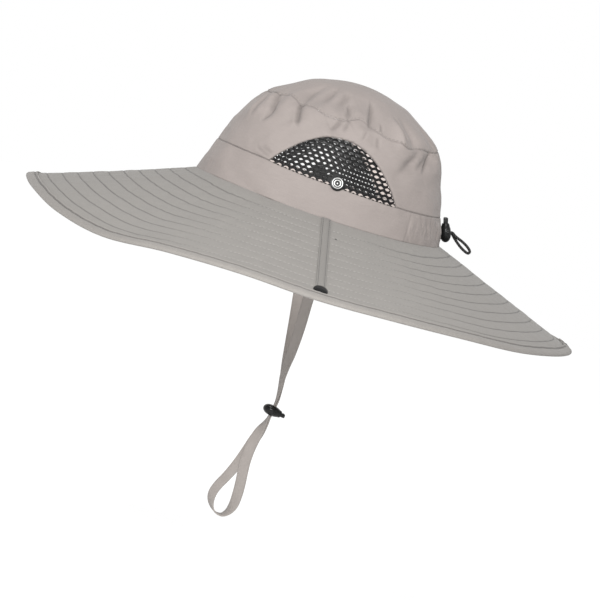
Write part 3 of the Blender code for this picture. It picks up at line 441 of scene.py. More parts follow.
class Look:
    """A material, and short ways to add nodes to it."""

    def __init__(self, name, colour, roughness, specular=0.5, sheen=0.0, metallic=0.0):
        self.material = bpy.data.materials.new(name)
        self.material.use_nodes = True
        self.shader = self.material.node_tree.nodes["Principled BSDF"]
        values = {"Base Color": (*colour, 1), "Roughness": roughness, "Metallic": metallic}
        values |= {"Specular IOR Level": specular, "Sheen Weight": sheen}
        for key, value in values.items():
            self.shader.inputs[key].default_value = value

    def node(self, kind, inputs, **settings):
        made = self.material.node_tree.nodes.new("ShaderNode" + kind)
        for key, value in settings.items():
            setattr(made, key, value)
        for key, value in inputs.items():
            if hasattr(value, "is_linked"):
                self.material.node_tree.links.new(value, made.inputs[key])
            else:
                made.inputs[key].default_value = value
        return made.outputs

    def set(self, name, source):
        self.material.node_tree.links.new(source, self.shader.inputs[name])

    def maths(self, operation, a, b, c=0.0):
        return self.node("Math", {0: a, 1: b, 2: c}, operation=operation)[0]

    def mix(self, low, high, factor, blend="MIX"):
        return self.node("Mix", {0: factor, 6: low, 7: high}, data_type="RGBA", blend_type=blend)[2]

    def tint(self, low, high, factor):
        return self.mix((*low, 1), (*high, 1), factor)

    def with_painted_shade(self, colour, tint):
        """The colour with painted shade: darker where the piece's painted shade attribute is high."""
        groove_and_painted_shade = self.node("Attribute", {}, attribute_name="groove_and_painted_shade")["Fac"]
        return self.mix(colour, (tint, tint, tint, 1), groove_and_painted_shade, "MULTIPLY")

    def streaked(self, colour, factor, low, high):
        return self.mix(colour, self.tint((low,) * 3, (high,) * 3, factor), 1, "MULTIPLY")

    def cloth_uv(self):
        return self.node("UVMap", {}, uv_map="cloth")[0]

    def noise(self, scale, detail=2.0, stretch=(1, 1, 1), place=None):
        place = place or self.node("TexCoord", {})["Object"]
        mapped = self.node("Mapping", {"Vector": place, "Scale": stretch})[0]
        return self.node("TexNoise", {"Vector": mapped, "Scale": scale, "Detail": detail})["Fac"]

    def threads(self, axis, scale):
        inputs = {"Vector": self.cloth_uv(), "Scale": scale, "Distortion": 0.6}
        inputs |= {"Detail": 1.0, "Detail Scale": 0.4}
        return self.node("TexWave", inputs, wave_type="BANDS", bands_direction=axis)["Fac"]

    def bump(self, height, distance, strength, **under):
        inputs = {"Height": height, "Distance": distance, "Strength": strength, **under}
        normal = self.node("Bump", inputs)[0]
        self.set("Normal", normal)
        return normal


def cloth_material(name, colour, painted_shade_tint, streaks):
    """Close woven cloth: threads both ways, faint slubs and mottling, and painted shade along its
    seams, creases and stitched rows.
    """
    look = Look(name, colour, 0.72, 0.22, 0.06)
    mottle = look.noise(45, 4)
    base = look.tint([c * 0.95 for c in colour], [c * 1.05 for c in colour], mottle)
    base = look.streaked(base, look.noise(900, 2, (1, 1, 4)), 0.93, 1.06)
    streak = look.noise(1.0, 2.0, (110, 1500, 1), look.cloth_uv())
    base = look.streaked(base, streak, 1 - 2 * streaks, 1 + 2 * streaks)
    look.set("Base Color", look.with_painted_shade(base, painted_shade_tint))
    pits = look.bump(look.maths("ADD", look.threads("X", 560), look.threads("Y", 560)), 0.00009, 0.5)
    look.bump(look.maths("ADD", look.noise(160, 3), streak), 0.00028, 0.6, Normal=pits)
    look.set("Roughness", look.maths("MULTIPLY_ADD", mottle, 0.12, 0.64))
    return look.material


def tape_material(name, colour, painted_shade_tint):
    """Ribbed tape: fine ribs across its width and a slightly worn face, with painted shade where the
    piece carries it.
    """
    look = Look(name, colour, 0.78, 0.22, 0.08)
    base = look.tint([c * 0.92 for c in colour], [c * 1.07 for c in colour], look.noise(120, 3))
    look.set("Base Color", look.with_painted_shade(base, painted_shade_tint))
    look.bump(look.maths("ADD", look.threads("X", 260), look.threads("Y", 500)), 0.0002, 0.6)
    return look.material


def thread_material(name, colour):
    look = Look(name, colour, 0.6, sheen=0.2)
    twist = look.noise(1500, 1)
    look.set("Base Color", look.tint([c * 0.85 for c in colour], [c * 1.15 for c in colour], twist))
    return look.material


def net_material():
    look = Look("net_mesh", (0.006,) * 3, 0.5, 0.1)
    strands = look.noise(1300, 2)
    look.set("Base Color", look.tint((0.002,) * 3, (0.010,) * 3, strands))
    look.bump(strands, 0.0002, 0.7)
    return look.material


def plastic_material(name, shade, roughness):
    look = Look(name, (shade,) * 3, roughness, 0.15)
    scuffs = look.noise(260, 4)
    look.set("Roughness", look.maths("MULTIPLY_ADD", scuffs, 0.2, roughness - 0.08))
    look.set("Base Color", look.tint((shade,) * 3, (shade * 1.5 + 0.002,) * 3, scuffs))
    look.bump(look.noise(1800, 3), 0.00004, 0.35)
    return look.material


def metal_material():
    look = Look("snap_steel", (0.62, 0.62, 0.61), 0.32, metallic=1.0)
    wear = look.noise(700, 3)
    look.set("Base Color", look.tint((0.20, 0.20, 0.20), (0.42, 0.42, 0.41), wear))
    look.set("Roughness", look.maths("MULTIPLY_ADD", wear, 0.25, 0.2))
    return look.material


def braid_material():
    look = Look("cord_braid", (0.014,) * 3, 0.7, 0.25)
    strands = look.threads("DIAGONAL", 260)
    look.set("Base Color", look.tint((0.006, 0.006, 0.006), (0.022, 0.021, 0.021), strands))
    look.bump(look.maths("ADD", strands, look.threads("X", 400)), 0.0003, 0.7)
    return look.material


# ---------------------------------------------------------------- mesh helpers


def linked(name, data):
    obj = bpy.data.objects.new(name, data)
    bpy.context.scene.collection.objects.link(obj)
    return obj


def placed(obj, body, replaces=(), slot=None):
    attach(obj, body)
    if replaces:
        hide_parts(*replaces)
    return obj


def mesh_object(name, verts, faces, material, uv=None, groove_and_painted_shade=None, body="hat", **place):
    """A piece from arrays, on its body. uv and the painted shade each hold one value a vertex."""
    data = bpy.data.meshes.new(name)
    data.from_pydata(np.reshape(verts, (-1, 3)).tolist(), [], [tuple(face) for face in faces])
    data.materials.append(material)
    if uv is not None:
        layer = data.uv_layers.new(name="cloth")
        index = np.zeros(len(data.loops), np.int32)
        data.loops.foreach_get("vertex_index", index)
        layer.data.foreach_set("uv", np.reshape(uv, (-1, 2)).astype(np.float32)[index].ravel())
    if groove_and_painted_shade is not None:
        attribute = data.attributes.new("groove_and_painted_shade", "FLOAT", "POINT")
        attribute.data.foreach_set("value", np.asarray(groove_and_painted_shade, np.float32).ravel())
    data.shade_smooth()
    return placed(linked(name, data), body, **place)


def grid_faces(rows, columns, wrap_rows, wrap_columns):
    """Quads of a grid of vertices, closed round its columns and rows where they wrap."""
    r = np.arange(rows if wrap_rows else rows - 1)
    c = np.arange(columns if wrap_columns else columns - 1)
    r, c = np.meshgrid(r, c, indexing="ij")
    n, m = (r + 1) % rows, (c + 1) % columns
    quads = [r * columns + c, r * columns + m, n * columns + m, n * columns + c]
    return np.stack(quads, -1).reshape(-1, 4)


def tube_faces(rows, count):
    """Faces of a tube of rings with count corners each, and of its two ends."""
    faces = [tuple(face) for face in grid_faces(rows, count, False, True)]
    return faces + [tuple(range(count))[::-1], tuple(range((rows - 1) * count, rows * count))]


def lengths_uv(points):
    """The distance along each row and up each column of a grid of points, in metres."""
    along = np.linalg.norm(np.diff(points, axis=1, prepend=points[:, :1]), axis=-1).cumsum(1)
    up = np.linalg.norm(np.diff(points, axis=0, prepend=points[:1]), axis=-1).cumsum(0)
    along = np.broadcast_to(along[len(along) // 2], along.shape)
    return np.stack([along, np.broadcast_to(up.mean(1, keepdims=True), up.shape)], -1)


def run_along(points):
    """The length along a line of points, up to each of them."""
    steps = np.linalg.norm(np.diff(points[:, :3], axis=0), axis=1)
    return np.concatenate([[0], steps.cumsum()])


def resample(points, step):
    points = np.array(points, float)
    places = run_along(points)
    at = np.linspace(0, places[-1], round(places[-1] / step) + 1)
    return np.stack([smooth(places, column, at) for column in points.T], -1)


def stitches(name, lines, material, size=1.0):
    """Thread stitches laid along lines of (points, normals), as one joined mesh."""
    half, wide, high = STITCH_LENGTH / 2, STITCH_WIDTH / 2 * size, STITCH_HEIGHT * size
    shape = [(-half, 0, -0.3 * high)]
    for a in (-0.55 * half, 0.55 * half):
        shape += [(a, wide, 0), (a, 0, high), (a, -wide, 0), (a, 0, -high)]
    shape = np.array(shape + [(half, 0, -0.3 * high)])
    ring = [(1 + i, 1 + (i + 1) % 4) for i in range(4)]
    outline = [(0, i, j) for i, j in ring] + [(i, i + 4, j + 4, j) for i, j in ring]
    outline += [(9, j + 4, i + 4) for i, j in ring]
    verts = []
    for points, normals in lines:
        places = run_along(points)
        count = max(int(round(places[-1] / STITCH_PITCH)), 1)
        at = (np.arange(count) + 0.5) * places[-1] / count

        def there(where, values):
            return np.stack([np.interp(where, places, column) for column in values.T], -1)

        along = unit(there(at + 0.0008, points) - there(at - 0.0008, points))
        side = unit(np.cross(unit(there(at, normals)), along))
        axes_of = np.stack([along, side, np.cross(along, side)], 1)
        verts.append(there(at, points)[:, None] + shape @ axes_of)
    verts = np.concatenate(verts)
    faces = [
        tuple(first + k for k in face)
        for first in range(0, len(verts) * len(shape), len(shape)) for face in outline
    ]
    return mesh_object(name, verts, faces, material)


def turned(name, profile, place, material, segments=56, **options):
    """A round piece turned from a profile of (radius, height), from its top down its outside."""
    turn = np.arange(segments) * 2 * pi / segments
    verts, rings = [], []
    for radius, height in profile:
        around = turn if radius > 1e-9 else turn[:1]
        rings.append(range(len(verts), len(verts) + len(around)))
        verts += [place @ Vector((radius * cos(a), radius * sin(a), height)) for a in around]
    return mesh_object(name, verts, ring_faces(rings, segments), material, **options)


def ring_faces(rings, segments):
    """Faces between rings of vertices, where a ring may be a single one."""
    faces = []
    for one, two in zip(rings, rings[1:]):
        for i in range(segments):
            j = (i + 1) % segments
            corners = (one[i % len(one)], two[i % len(two)], two[j % len(two)], one[j % len(one)])
            face = list(dict.fromkeys(corners))
            if len(face) > 2:
                faces.append(face)
    return faces


def axes(x, y, z, place=(0, 0, 0)):
    return Matrix.Translation(place) @ Matrix((x, y, z)).transposed().to_4x4()


def frame_along(normal, place):
    normal = Vector(normal).normalized()
    side = Vector((0, 0, 1)).cross(normal).normalized()
    return axes(side, normal.cross(side), normal, Vector(place))


def apply_modifiers(obj):
    graph = bpy.context.evaluated_depsgraph_get()
    data = bpy.data.meshes.new_from_object(obj.evaluated_get(graph))
    obj.modifiers.clear()
    obj.data = data
    return obj


def modified(obj, kind, **settings):
    modifier = obj.modifiers.new("made", kind)
    for key, value in settings.items():
        setattr(modifier, key, value)
    return apply_modifiers(obj)


# ---------------------------------------------------------------- camera


def make_camera():
    """The photograph's view: a long lens, turned so that the hat's origin is at its pixel."""
    flat = cos(CAMERA_RISE)
    back = Vector((sin(CAMERA_TURN) * flat, -cos(CAMERA_TURN) * flat, sin(CAMERA_RISE)))
    right = Vector((0, 0, 1)).cross(back).normalized()
    up = back.cross(right)
    x_axis = right * cos(CAMERA_ROLL) + up * sin(CAMERA_ROLL)
    y_axis = up * cos(CAMERA_ROLL) - right * sin(CAMERA_ROLL)
    x_off = (IMAGE_PIXELS / 2 - ORIGIN_PIXEL[0]) / FOCAL_PIXELS
    y_off = (ORIGIN_PIXEL[1] - IMAGE_PIXELS / 2) / FOCAL_PIXELS
    z_axis = (back - x_axis * x_off - y_axis * y_off).normalized()
    x_axis = (x_axis - z_axis * x_axis.dot(z_axis)).normalized()
    data = bpy.data.cameras.new("camera")
    data.sensor_width = 36
    data.lens = 36 * FOCAL_PIXELS / IMAGE_PIXELS
    data.clip_end = 50
    camera = linked("camera", data)
    camera.matrix_world = axes(x_axis, z_axis.cross(x_axis), z_axis, back * CAMERA_DISTANCE)
    bpy.context.scene.camera = camera


make_camera()

CROWN_CLOTH = cloth_material("crown_nylon", (0.173, 0.152, 0.142), 0.50, 0.03)
BRIM_CLOTH = cloth_material("brim_nylon", (0.155, 0.147, 0.137), 0.40, 0.05)
BINDING_TAPE = tape_material("binding_tape", (0.174, 0.163, 0.152), 0.50)
STRAP_TAPE = tape_material("strap_tape", (0.175, 0.159, 0.148), 0.70)
PALE_THREAD = thread_material("pale_thread", (0.192, 0.184, 0.172))
BINDING_THREAD = thread_material("binding_thread", (0.100, 0.092, 0.086))
CROWN_THREAD = thread_material("crown_thread", (0.100, 0.088, 0.082))
DARK_THREAD = thread_material("dark_thread", (0.040, 0.038, 0.036))
NET_MESH = net_material()
PLASTIC = plastic_material("black_plastic", 0.004, 0.28)
STEEL = metal_material()
BRAID = braid_material()

# ---------------------------------------------------------------- cords


def make_strap():
    rows = resample(CHIN_STRAP_ROUTE, 0.0016)
    centre, turn = rows[:, :3], np.radians(rows[:, 3])
    along = unit(np.gradient(centre, axis=0))
    across = np.stack([np.cos(turn), np.sin(turn), 0 * turn], -1)
    across = unit(across - along * (across * along).sum(-1, keepdims=True))
    half, wall = STRAP_WIDTH / 2, STRAP_WALL / 2
    edge = [(-1, -0.4), (-0.97, -0.85), (-0.6, -1), (0, -0.93), (0.6, -1), (0.97, -0.85), (1, -0.4)]
    section = np.array(edge + [(x, -y) for x, y in edge[::-1]])
    wide = section[:, 0][None, :, None] * (half * rows[:, 4])[:, None, None] * across[:, None]
    thick = section[:, 1][None, :, None] * wall * np.cross(along, across)[:, None]
    uv = np.stack(np.broadcast_arrays(run_along(centre)[:, None], section[None, :, 0] * half), -1)
    strap = mesh_object(
        "strap_cloth", centre[:, None] + wide + thick, tube_faces(len(rows), len(section)), STRAP_TAPE,
        uv=uv, replaces=("chin_strap",), slot="strap_tape",
    )
    return strap, centre


def make_cord(sides=16):
    rows = resample(BACK_CORD_ROUTE, 0.0008)
    along = unit(np.gradient(rows, axis=0))
    side = unit(np.cross(along, np.broadcast_to((1.0, 0, 0), along.shape)))
    turn = np.arange(sides) * 2 * pi / sides
    ring = np.cos(turn)[None, :, None] * side[:, None]
    ring = ring + np.sin(turn)[None, :, None] * np.cross(side, along)[:, None]
    around = turn[None] * CORD_DIAMETER / 2
    cord = mesh_object(
        "drawcord", rows[:, None] + CORD_DIAMETER / 2 * ring, tube_faces(len(rows), sides), BRAID,
        uv=np.stack(np.broadcast_arrays(run_along(rows)[:, None], around), -1),
        replaces=("back_cord",), slot="cord",
    )
    return cord, rows


strap, strap_line = make_strap()
cord, cord_line = make_cord()

# ---------------------------------------------------------------- locks


def from_bmesh(name, mesh):
    data = bpy.data.meshes.new(name)
    mesh.to_mesh(data)
    mesh.free()
    return linked(name, data)


def rounded_box(name, size, place, rounding, segments=3):
    mesh = bmesh.new()
    bmesh.ops.create_cube(mesh, size=1, matrix=Matrix.Diagonal((*size, 1)))
    bmesh.ops.bevel(
        mesh, geom=mesh.edges, offset=rounding, segments=segments, affect="EDGES", profile=0.5
    )
    bmesh.ops.transform(mesh, matrix=Matrix.Translation(place), verts=mesh.verts)
    return from_bmesh(name, mesh)


def cut_box(obj, size, place, rounding, segments=3):
    cutter = rounded_box("cutter", size, place, rounding, segments)
    modified(obj, "BOOLEAN", operation="DIFFERENCE", object=cutter)
    bpy.data.objects.remove(cutter, do_unlink=True)


def finished(obj, place, body, replaced):
    obj.data.transform(place)
    obj.data.materials.clear()
    obj.data.materials.append(PLASTIC)
    obj.data.shade_smooth()
    return placed(obj, body, (replaced,), "black_plastic")


def lock_form(name, mouth, segments=56):
    """The lock's smooth closed form, from its rounded foot to its flat mouth."""
    steps = np.linspace(-1, 1, 34)
    sizes = smooth(column_of(LOCK_SECTIONS, "along"), column_of(LOCK_SECTIONS, "size"), steps)
    heights = np.where(steps > 0, steps * mouth, steps * LOCK_SLOT_SEAT)
    turn = np.arange(segments) * 2 * pi / segments
    a, b = (np.abs(w) ** (2 / LOCK_ROUNDNESS) * np.sign(w) for w in (np.cos(turn), np.sin(turn)))
    mesh, rings = bmesh.new(), []
    for z, s in [(-LOCK_SLOT_SEAT, 0.0), *zip(heights, sizes), (mouth, 0.0)]:
        wide, thick = LOCK_WIDTH / 2 * s, LOCK_THICKNESS / 2 * s
        corners = list(zip(a, b)) if s else [(0, 0)]
        rings.append([mesh.verts.new((wide * p, thick * q, z)) for p, q in corners])
    for face in ring_faces(rings, segments):
        mesh.faces.new(face)
    bmesh.ops.recalc_face_normals(mesh, faces=mesh.faces)
    return from_bmesh(name, mesh)


def make_lock(name, seat, turn, show, plunger_body):
    """The lock's body with its slot, mouth and ribs, and the plunger with its grip ridges."""
    mouth = LOCK_LENGTH - LOCK_SLOT_SEAT
    place = Matrix.Translation(seat) @ turn
    shell = lock_form(name + "_shell", mouth)
    foot = -LOCK_SLOT_LENGTH / 2 - PLUNGER_FOOT
    floor = foot - PLUNGER_TRAVEL - PIECE_GAP
    depth = mouth + LOCK_LENGTH - floor
    pocket = (PLUNGER_WIDTH + 2 * PIECE_GAP, PLUNGER_THICKNESS + 2 * PIECE_GAP, depth)
    cut_box(shell, pocket, (0, 0, floor + depth / 2), 0.0005)
    cut_box(shell, (LOCK_SLOT_WIDTH, 2 * LOCK_THICKNESS, LOCK_SLOT_LENGTH), (0, 0, 0), 0.0006)
    for k in range(3):
        for side in (-1, 1):
            rib = (side * LOCK_WIDTH * 0.49, 0, mouth * (0.12 + 0.19 * k))
            cut_box(shell, (0.0016, LOCK_THICKNESS * 0.5, 0.00055), rib, 0.00018, 2)
    finished(shell, place, "hat", name + "_body")
    modified(
        shell, "BEVEL", width=0.00018, segments=2, limit_method="ANGLE", angle_limit=radians(40),
        harden_normals=True,
    )

    length = mouth + show - foot
    button = rounded_box(
        name + "_button", (PLUNGER_WIDTH, PLUNGER_THICKNESS, length), (0, 0, foot + length / 2),
        PLUNGER_THICKNESS * 0.28,
    )
    window = (LOCK_SLOT_WIDTH, 2 * LOCK_THICKNESS, LOCK_SLOT_LENGTH + PLUNGER_TRAVEL)
    cut_box(button, window, (0, 0, PLUNGER_TRAVEL / 2), 0.0005)
    for k in range(3):
        for side in (-1, 1):
            grip = (0, side * 0.0016, mouth + show * (0.42 + 0.19 * k))
            cut_box(button, (PLUNGER_WIDTH * 0.8, 0.0005, 0.0004), grip, 0.0001, 2)
    return [shell, finished(button, place, plunger_body, name + "_plunger")]


ACROSS = Vector((1, 0, 0))
dip = radians(CHIN_LOCK_DIP)
lock_axis = Vector((0, cos(dip), -sin(dip)))
chin_turn = axes(ACROSS, lock_axis.cross(ACROSS), lock_axis)
chin_lock = make_lock("chin_lock", CHIN_LOCK_PLACE, chin_turn, CHIN_PLUNGER_SHOW, "chin_plunger")

BACK = np.array(pi)
back_share = np.array(share_at(BACK, BACK_LOCK_RISE))
back_out = Vector(crown_normal(BACK, back_share))
back_seat = Vector(crown_surface(BACK, back_share, detail=0.0))
back_seat += back_out * (LOCK_THICKNESS / 2 + PIECE_GAP)
back_turn = axes(ACROSS, back_out, ACROSS.cross(back_out))
back_turn = Matrix.Rotation(radians(BACK_LOCK_LEAN), 4, "X") @ back_turn
back_lock = make_lock("back_lock", back_seat, back_turn, BACK_PLUNGER_SHOW, "back_plunger")

round(run_along(strap_line)[-1], 3)
round(run_along(cord_line)[-1], 3)

# ---------------------------------------------------------------- crown


def roll_in(distance):
    """How far cloth turns in next to a seam or a cut edge."""
    return SEAM_ROLL * np.exp(-((distance / SEAM_WIDTH) ** 2))


def painted_top_seam_shade(angle, roll):
    # Painted shade along the seam under the crown's top, as deep as the cloth rolls in there.
    return from_table(TOP_SEAM, "dark", angle) * roll


def vent_arch(y):
    """How high a vent's arch stands over the band at a place along Y."""
    return VENT_HEIGHT * (1 - np.abs((y - VENT_CENTRE) / (VENT_WIDTH / 2)) ** VENT_POWER)


def ring_grid(low, high, height, rows, both=True):
    """Angles and shares of rings from one edge to another, closer together next to a seam."""
    near = EDGE_STEPS / height
    if both:
        middle = np.linspace(near[-1], 1 - near[-1], rows)[1:-1]
        s = np.concatenate([near, middle, 1 - near[::-1]])[:, None]
    else:
        s = np.concatenate([near[:-1], np.linspace(near[-1], 1, rows)])[:, None]
    angle = np.broadcast_to(CROWN_ANGLES, (len(s), CROWN_COLUMNS)).copy()
    start, end = np.arcsin(low)[None], np.arcsin(np.minimum(high, 1))[None]
    return angle, np.sin(start + s * (end - start))


def shell_rows(angle, share, off, shade, pick):
    """Points, uv and painted shade of the crown's outer face and then of its inner face, at some rows;
    the inner face gets no painted shade.
    """
    outer = crown_surface(angle, share, off)
    inner = crown_surface(angle[pick], share[pick], CROWN_WALL + 0.3 * off[pick], detail=0.6)
    uv = lengths_uv(outer)
    dark = shade + painted_crease_shade(angle, share)
    return (
        np.concatenate([outer, inner]), np.concatenate([uv, uv[pick]]),
        np.concatenate([dark, 0 * off[pick]]),
    )


def make_band():
    low = share_at(CROWN_ANGLES, -0.0003)
    high = share_at(CROWN_ANGLES, band_rise(CROWN_ANGLES) - 0.00005)
    angle, share = ring_grid(low, high, BAND_HEIGHT, 20)
    scale = CROWN_HEIGHT - seam_height(angle)
    roll = roll_in(np.minimum((share - low) * scale, (high - share) * scale))
    u, mid = angle / (2 * pi), np.clip((share - low) / (high - low), 0, 1)
    front = np.exp(-((wrapped(angle) / 0.75) ** 4))
    soft = 0.0007 * front * noise(u, mid, 66, 1, 21) * np.sin(pi * np.clip(mid, 0.08, 0.92))
    past = np.degrees(np.abs(wrapped(angle))) - CASING_ANGLE - 4 * mid
    casing = np.clip(past / 0.8, 0, 1)
    pleats = np.abs(noise(u + 0.012 * mid, mid, 150, 1, 22))
    pleats = pleats + 0.5 * noise(u - 0.01 * mid, mid, 260, 2, 23)
    soft = soft + casing * (0.0009 * pleats - 0.0007) * np.sin(pi * np.clip(mid, 0.1, 0.9))
    # Painted shade along the band's seams, at the edge of the casing at the back and in the casing's
    # pleats.
    shade = roll / SEAM_ROLL + 0.35 * np.exp(-(((past - 0.1) / 0.5) ** 2)) + 0.22 * casing * pleats
    pick = np.linspace(0, len(angle) - 1, 9).round().astype(int)[::-1]
    points, uv, groove_and_painted_shade = shell_rows(angle, share, roll + soft, shade, pick)
    mesh_object(
        "band_cloth", points, grid_faces(len(points), CROWN_COLUMNS, True, True), CROWN_CLOTH,
        uv=uv, groove_and_painted_shade=groove_and_painted_shade, replaces=("band",), slot="crown_cloth",
    )


def make_side():
    """The crown's wall, its vents cut out along their arches and the cut edges rolled in."""
    low = share_at(CROWN_ANGLES, band_rise(CROWN_ANGLES) + 0.00005)
    high = share_at(CROWN_ANGLES, tip_rise(CROWN_ANGLES) - 0.00005)
    angle, share = ring_grid(low, high, TIP_HEIGHT - BAND_HEIGHT, 42)
    scale = CROWN_HEIGHT - seam_height(angle)
    under, over = roll_in((share - low) * scale), roll_in((high - share) * scale)
    plain = plain_crown(angle, share)
    x, y, z = plain[..., 0], plain[..., 1], plain[..., 2]
    arch_y = VENT_CENTRE - np.cos(pi * np.arange(400) / 399) * VENT_WIDTH / 2
    foot, _ = crown_at(arch_y, lambda turn: share_at(turn, band_rise(turn)))
    arch = np.stack([arch_y, seam_height(foot) + band_rise(foot) + vent_arch(arch_y)], -1)
    beside = np.abs(y - VENT_CENTRE) / (VENT_WIDTH / 2) < 1.15
    near = beside & (z < arch[:, 1].max() + 0.01) & (np.abs(x) > HEAD_WIDTH / 5)
    inside = near & (z < np.interp(y, *arch.T, left=-1, right=-1))
    faces = grid_faces(*angle.shape, False, True)
    gone = inside.ravel()[faces].sum(1) >= 2
    kept = faces[~gone]

    rim = np.intersect1d(np.unique(kept), np.unique(faces[gone]))
    at = np.stack([y.ravel()[rim], z.ravel()[rim]], -1)
    off = np.abs(at[:, 1] - np.interp(at[:, 0], *arch.T))
    moved = (rim >= CROWN_COLUMNS) | (off <= 0.002)
    rim, at = rim[moved], at[moved]
    arch_y, arch_z = arch[((at[:, None] - arch) ** 2).sum(-1).argmin(1)].T
    turn, up = crown_at(arch_y, lambda turn: share_at(turn, arch_z - seam_height(turn)), turns=8)
    angle.flat[rim] = np.where(x.ravel()[rim] > 0, turn, -turn) % (2 * pi)
    share.flat[rim] = up

    at = plain_crown(angle, share)[near][:, 1:]
    away = np.full(angle.shape, 1.0)
    away[near] = np.concatenate([
        np.linalg.norm(part[:, None] - arch, axis=-1).min(1) for part in np.array_split(at, 8)
    ])
    cut = roll_in(away)
    # Painted shade along the seams and along the vents' rolled-in cut edges.
    shade = (np.maximum(under, cut) + painted_top_seam_shade(angle, over)) / SEAM_ROLL
    outer = crown_surface(angle, share, np.maximum(np.maximum(under, over), cut))
    used = np.unique(kept)
    remap = np.full(angle.size, -1)
    remap[used] = np.arange(len(used))
    uv = lengths_uv(crown_surface(angle, share))
    wall = mesh_object(
        "crown_wall", outer.reshape(-1, 3)[used], remap[kept], CROWN_CLOTH, uv=uv.reshape(-1, 2)[used],
        groove_and_painted_shade=(shade + painted_crease_shade(angle, share)).ravel()[used],
        replaces=("crown_side",), slot="crown_cloth",
    )
    modified(wall, "SOLIDIFY", thickness=CROWN_WALL * 0.8, offset=-1)


def make_top():
    low = share_at(CROWN_ANGLES, tip_rise(CROWN_ANGLES) + 0.00005)
    high = np.full(CROWN_COLUMNS, 0.99995)
    angle, share = ring_grid(low, high, HEAD_LENGTH / 2, 46, both=False)
    rows = len(angle)
    plain = plain_crown(angle, share)
    run = np.linalg.norm(np.diff(plain, axis=0, prepend=plain[:1]), axis=-1).cumsum(0)
    roll, pick = roll_in(run), np.arange(rows)[::-4]
    # Painted shade along the seam next to the crown's wall.
    shade = painted_top_seam_shade(angle, roll) / SEAM_ROLL
    points, uv, groove_and_painted_shade = shell_rows(angle, share, roll, shade, pick)
    faces = grid_faces(len(points), CROWN_COLUMNS, True, True)
    hole = (faces[:, 0] >= (rows - 1) * CROWN_COLUMNS) & (faces[:, 0] < rows * CROWN_COLUMNS)
    faces = [tuple(face) for face in faces[~hole]]
    for ring, way in ((rows - 1, 1), (rows, -1)):
        first, middle = ring * CROWN_COLUMNS, points.shape[0] * CROWN_COLUMNS + ring - rows + 1
        for i in range(CROWN_COLUMNS):
            faces.append((first + i, first + (i + 1) % CROWN_COLUMNS, middle)[::way])
    ends = points[rows - 1:rows + 1]
    mesh_object(
        "crown_dome", np.concatenate([points.reshape(-1, 3), ends.mean(1)]), faces, CROWN_CLOTH,
        uv=np.concatenate([uv.reshape(-1, 2), uv[rows - 1:rows + 1, 0]]),
        groove_and_painted_shade=np.append(groove_and_painted_shade.ravel(), (0, 0)), replaces=("crown_top",), slot="crown_cloth",
    )


make_band()
make_side()
make_top()

# ---------------------------------------------------------------- brim


def brim_ways():
    """Ways across the brim: tucked in under the band, and close together at each stitched row."""
    ways = {-0.014, -0.006, 0.0, 0.012, 0.925, 0.932, 0.938, 0.946, 0.994, 1.0}
    for way in ROW_WAYS:
        ways |= {float(way) + off / BRIM_SLOPE for off in ROW_OFFSETS}
        ways.add(float(way) + 0.0446)
    return np.array(sorted(way for way in ways if way <= 1))[::-1]


def brim_ripple(angle, share):
    u = angle / (2 * pi)
    ripple = 0.00030 * noise(u, share, 150, 12, 31) + 0.00012 * noise(u, share, 400, 40, 32)
    return ripple * np.clip((1 - share) / 0.08, 0, 1) * np.clip(share / 0.03, 0, 1)


def brim_grid(ways):
    """Angles, shares and ways of rings across the brim, and their quilting and tuck."""
    angle, way = np.meshgrid(BRIM_ANGLES, ways)
    share = brim_share(angle, way)
    groove_and_painted_shade, puff = row_groove(way)
    quilt = GROOVE_DEPTH * groove_and_painted_shade - ROW_PUFF * puff * (way < 0.96)
    return angle, share, groove_and_painted_shade, quilt, np.minimum(share, 0) * 0.03


def make_brim():
    """Both faces of the brim, quilted in rings, with a thin folded edge."""
    ways = brim_ways()
    angle, share, groove_and_painted_shade, quilt, tuck = brim_grid(ways)
    # Painted shade in the quilted rows and a painted shadow line along the binding's inner edge, both
    # fading towards the sides; the lower face gets painted shade in its rows.
    edge = ((1 - share) * BRIM_SLOPE - BINDING_WIDTH - 0.0002) / 0.0006
    dark = (groove_and_painted_shade + 0.5 * np.exp(-(edge ** 2))) * from_table(ROW_EDGES, "dark", angle)
    top = brim_surface(angle, share, tuck - quilt + brim_ripple(angle, share))
    angle, share, groove_and_painted_shade, quilt, tuck = brim_grid(ways[::-2])
    under = brim_surface(angle, share, quilt - BRIM_WALL + tuck)
    points = np.concatenate([top, under])
    mesh_object(
        "brim_cloth", points, grid_faces(len(points), BRIM_COLUMNS, True, True), BRIM_CLOTH,
        uv=np.concatenate([lengths_uv(top), lengths_uv(under)]),
        groove_and_painted_shade=np.concatenate([dark, 0.7 * groove_and_painted_shade]), replaces=("brim",), slot="brim_cloth",
    )


def brim_lines(lift, side):
    """The stitched rows on the brim's upper side, 1, or its lower side, -1."""
    turn = np.linspace(0, 2 * pi, 1081)
    dark = np.clip(1.3 * from_table(ROW_EDGES, "dark", turn) - 0.2, 0, 1)
    lines = []
    for way in ROW_WAYS:
        share = brim_share(turn, np.full(turn.shape, way))
        sunk = brim_ripple(turn, share) - GROOVE_DEPTH * 1.3 * dark if side > 0 else 0
        lines.append((brim_surface(turn, share, lift + sunk), brim_normal(turn, share) * side))
    return lines


def binding_frame(turn):
    edge = brim_plain(turn, np.ones_like(turn))
    out = unit(edge - brim_plain(turn, np.full_like(turn, 0.98)))
    normal = brim_normal(turn, np.ones_like(turn))
    return edge, out, unit(normal - out * (normal * out).sum(-1, keepdims=True))


def binding_waves(turn):
    return 0.00036 * noise(turn / (2 * pi), 0 * turn, 260, 1, 41)


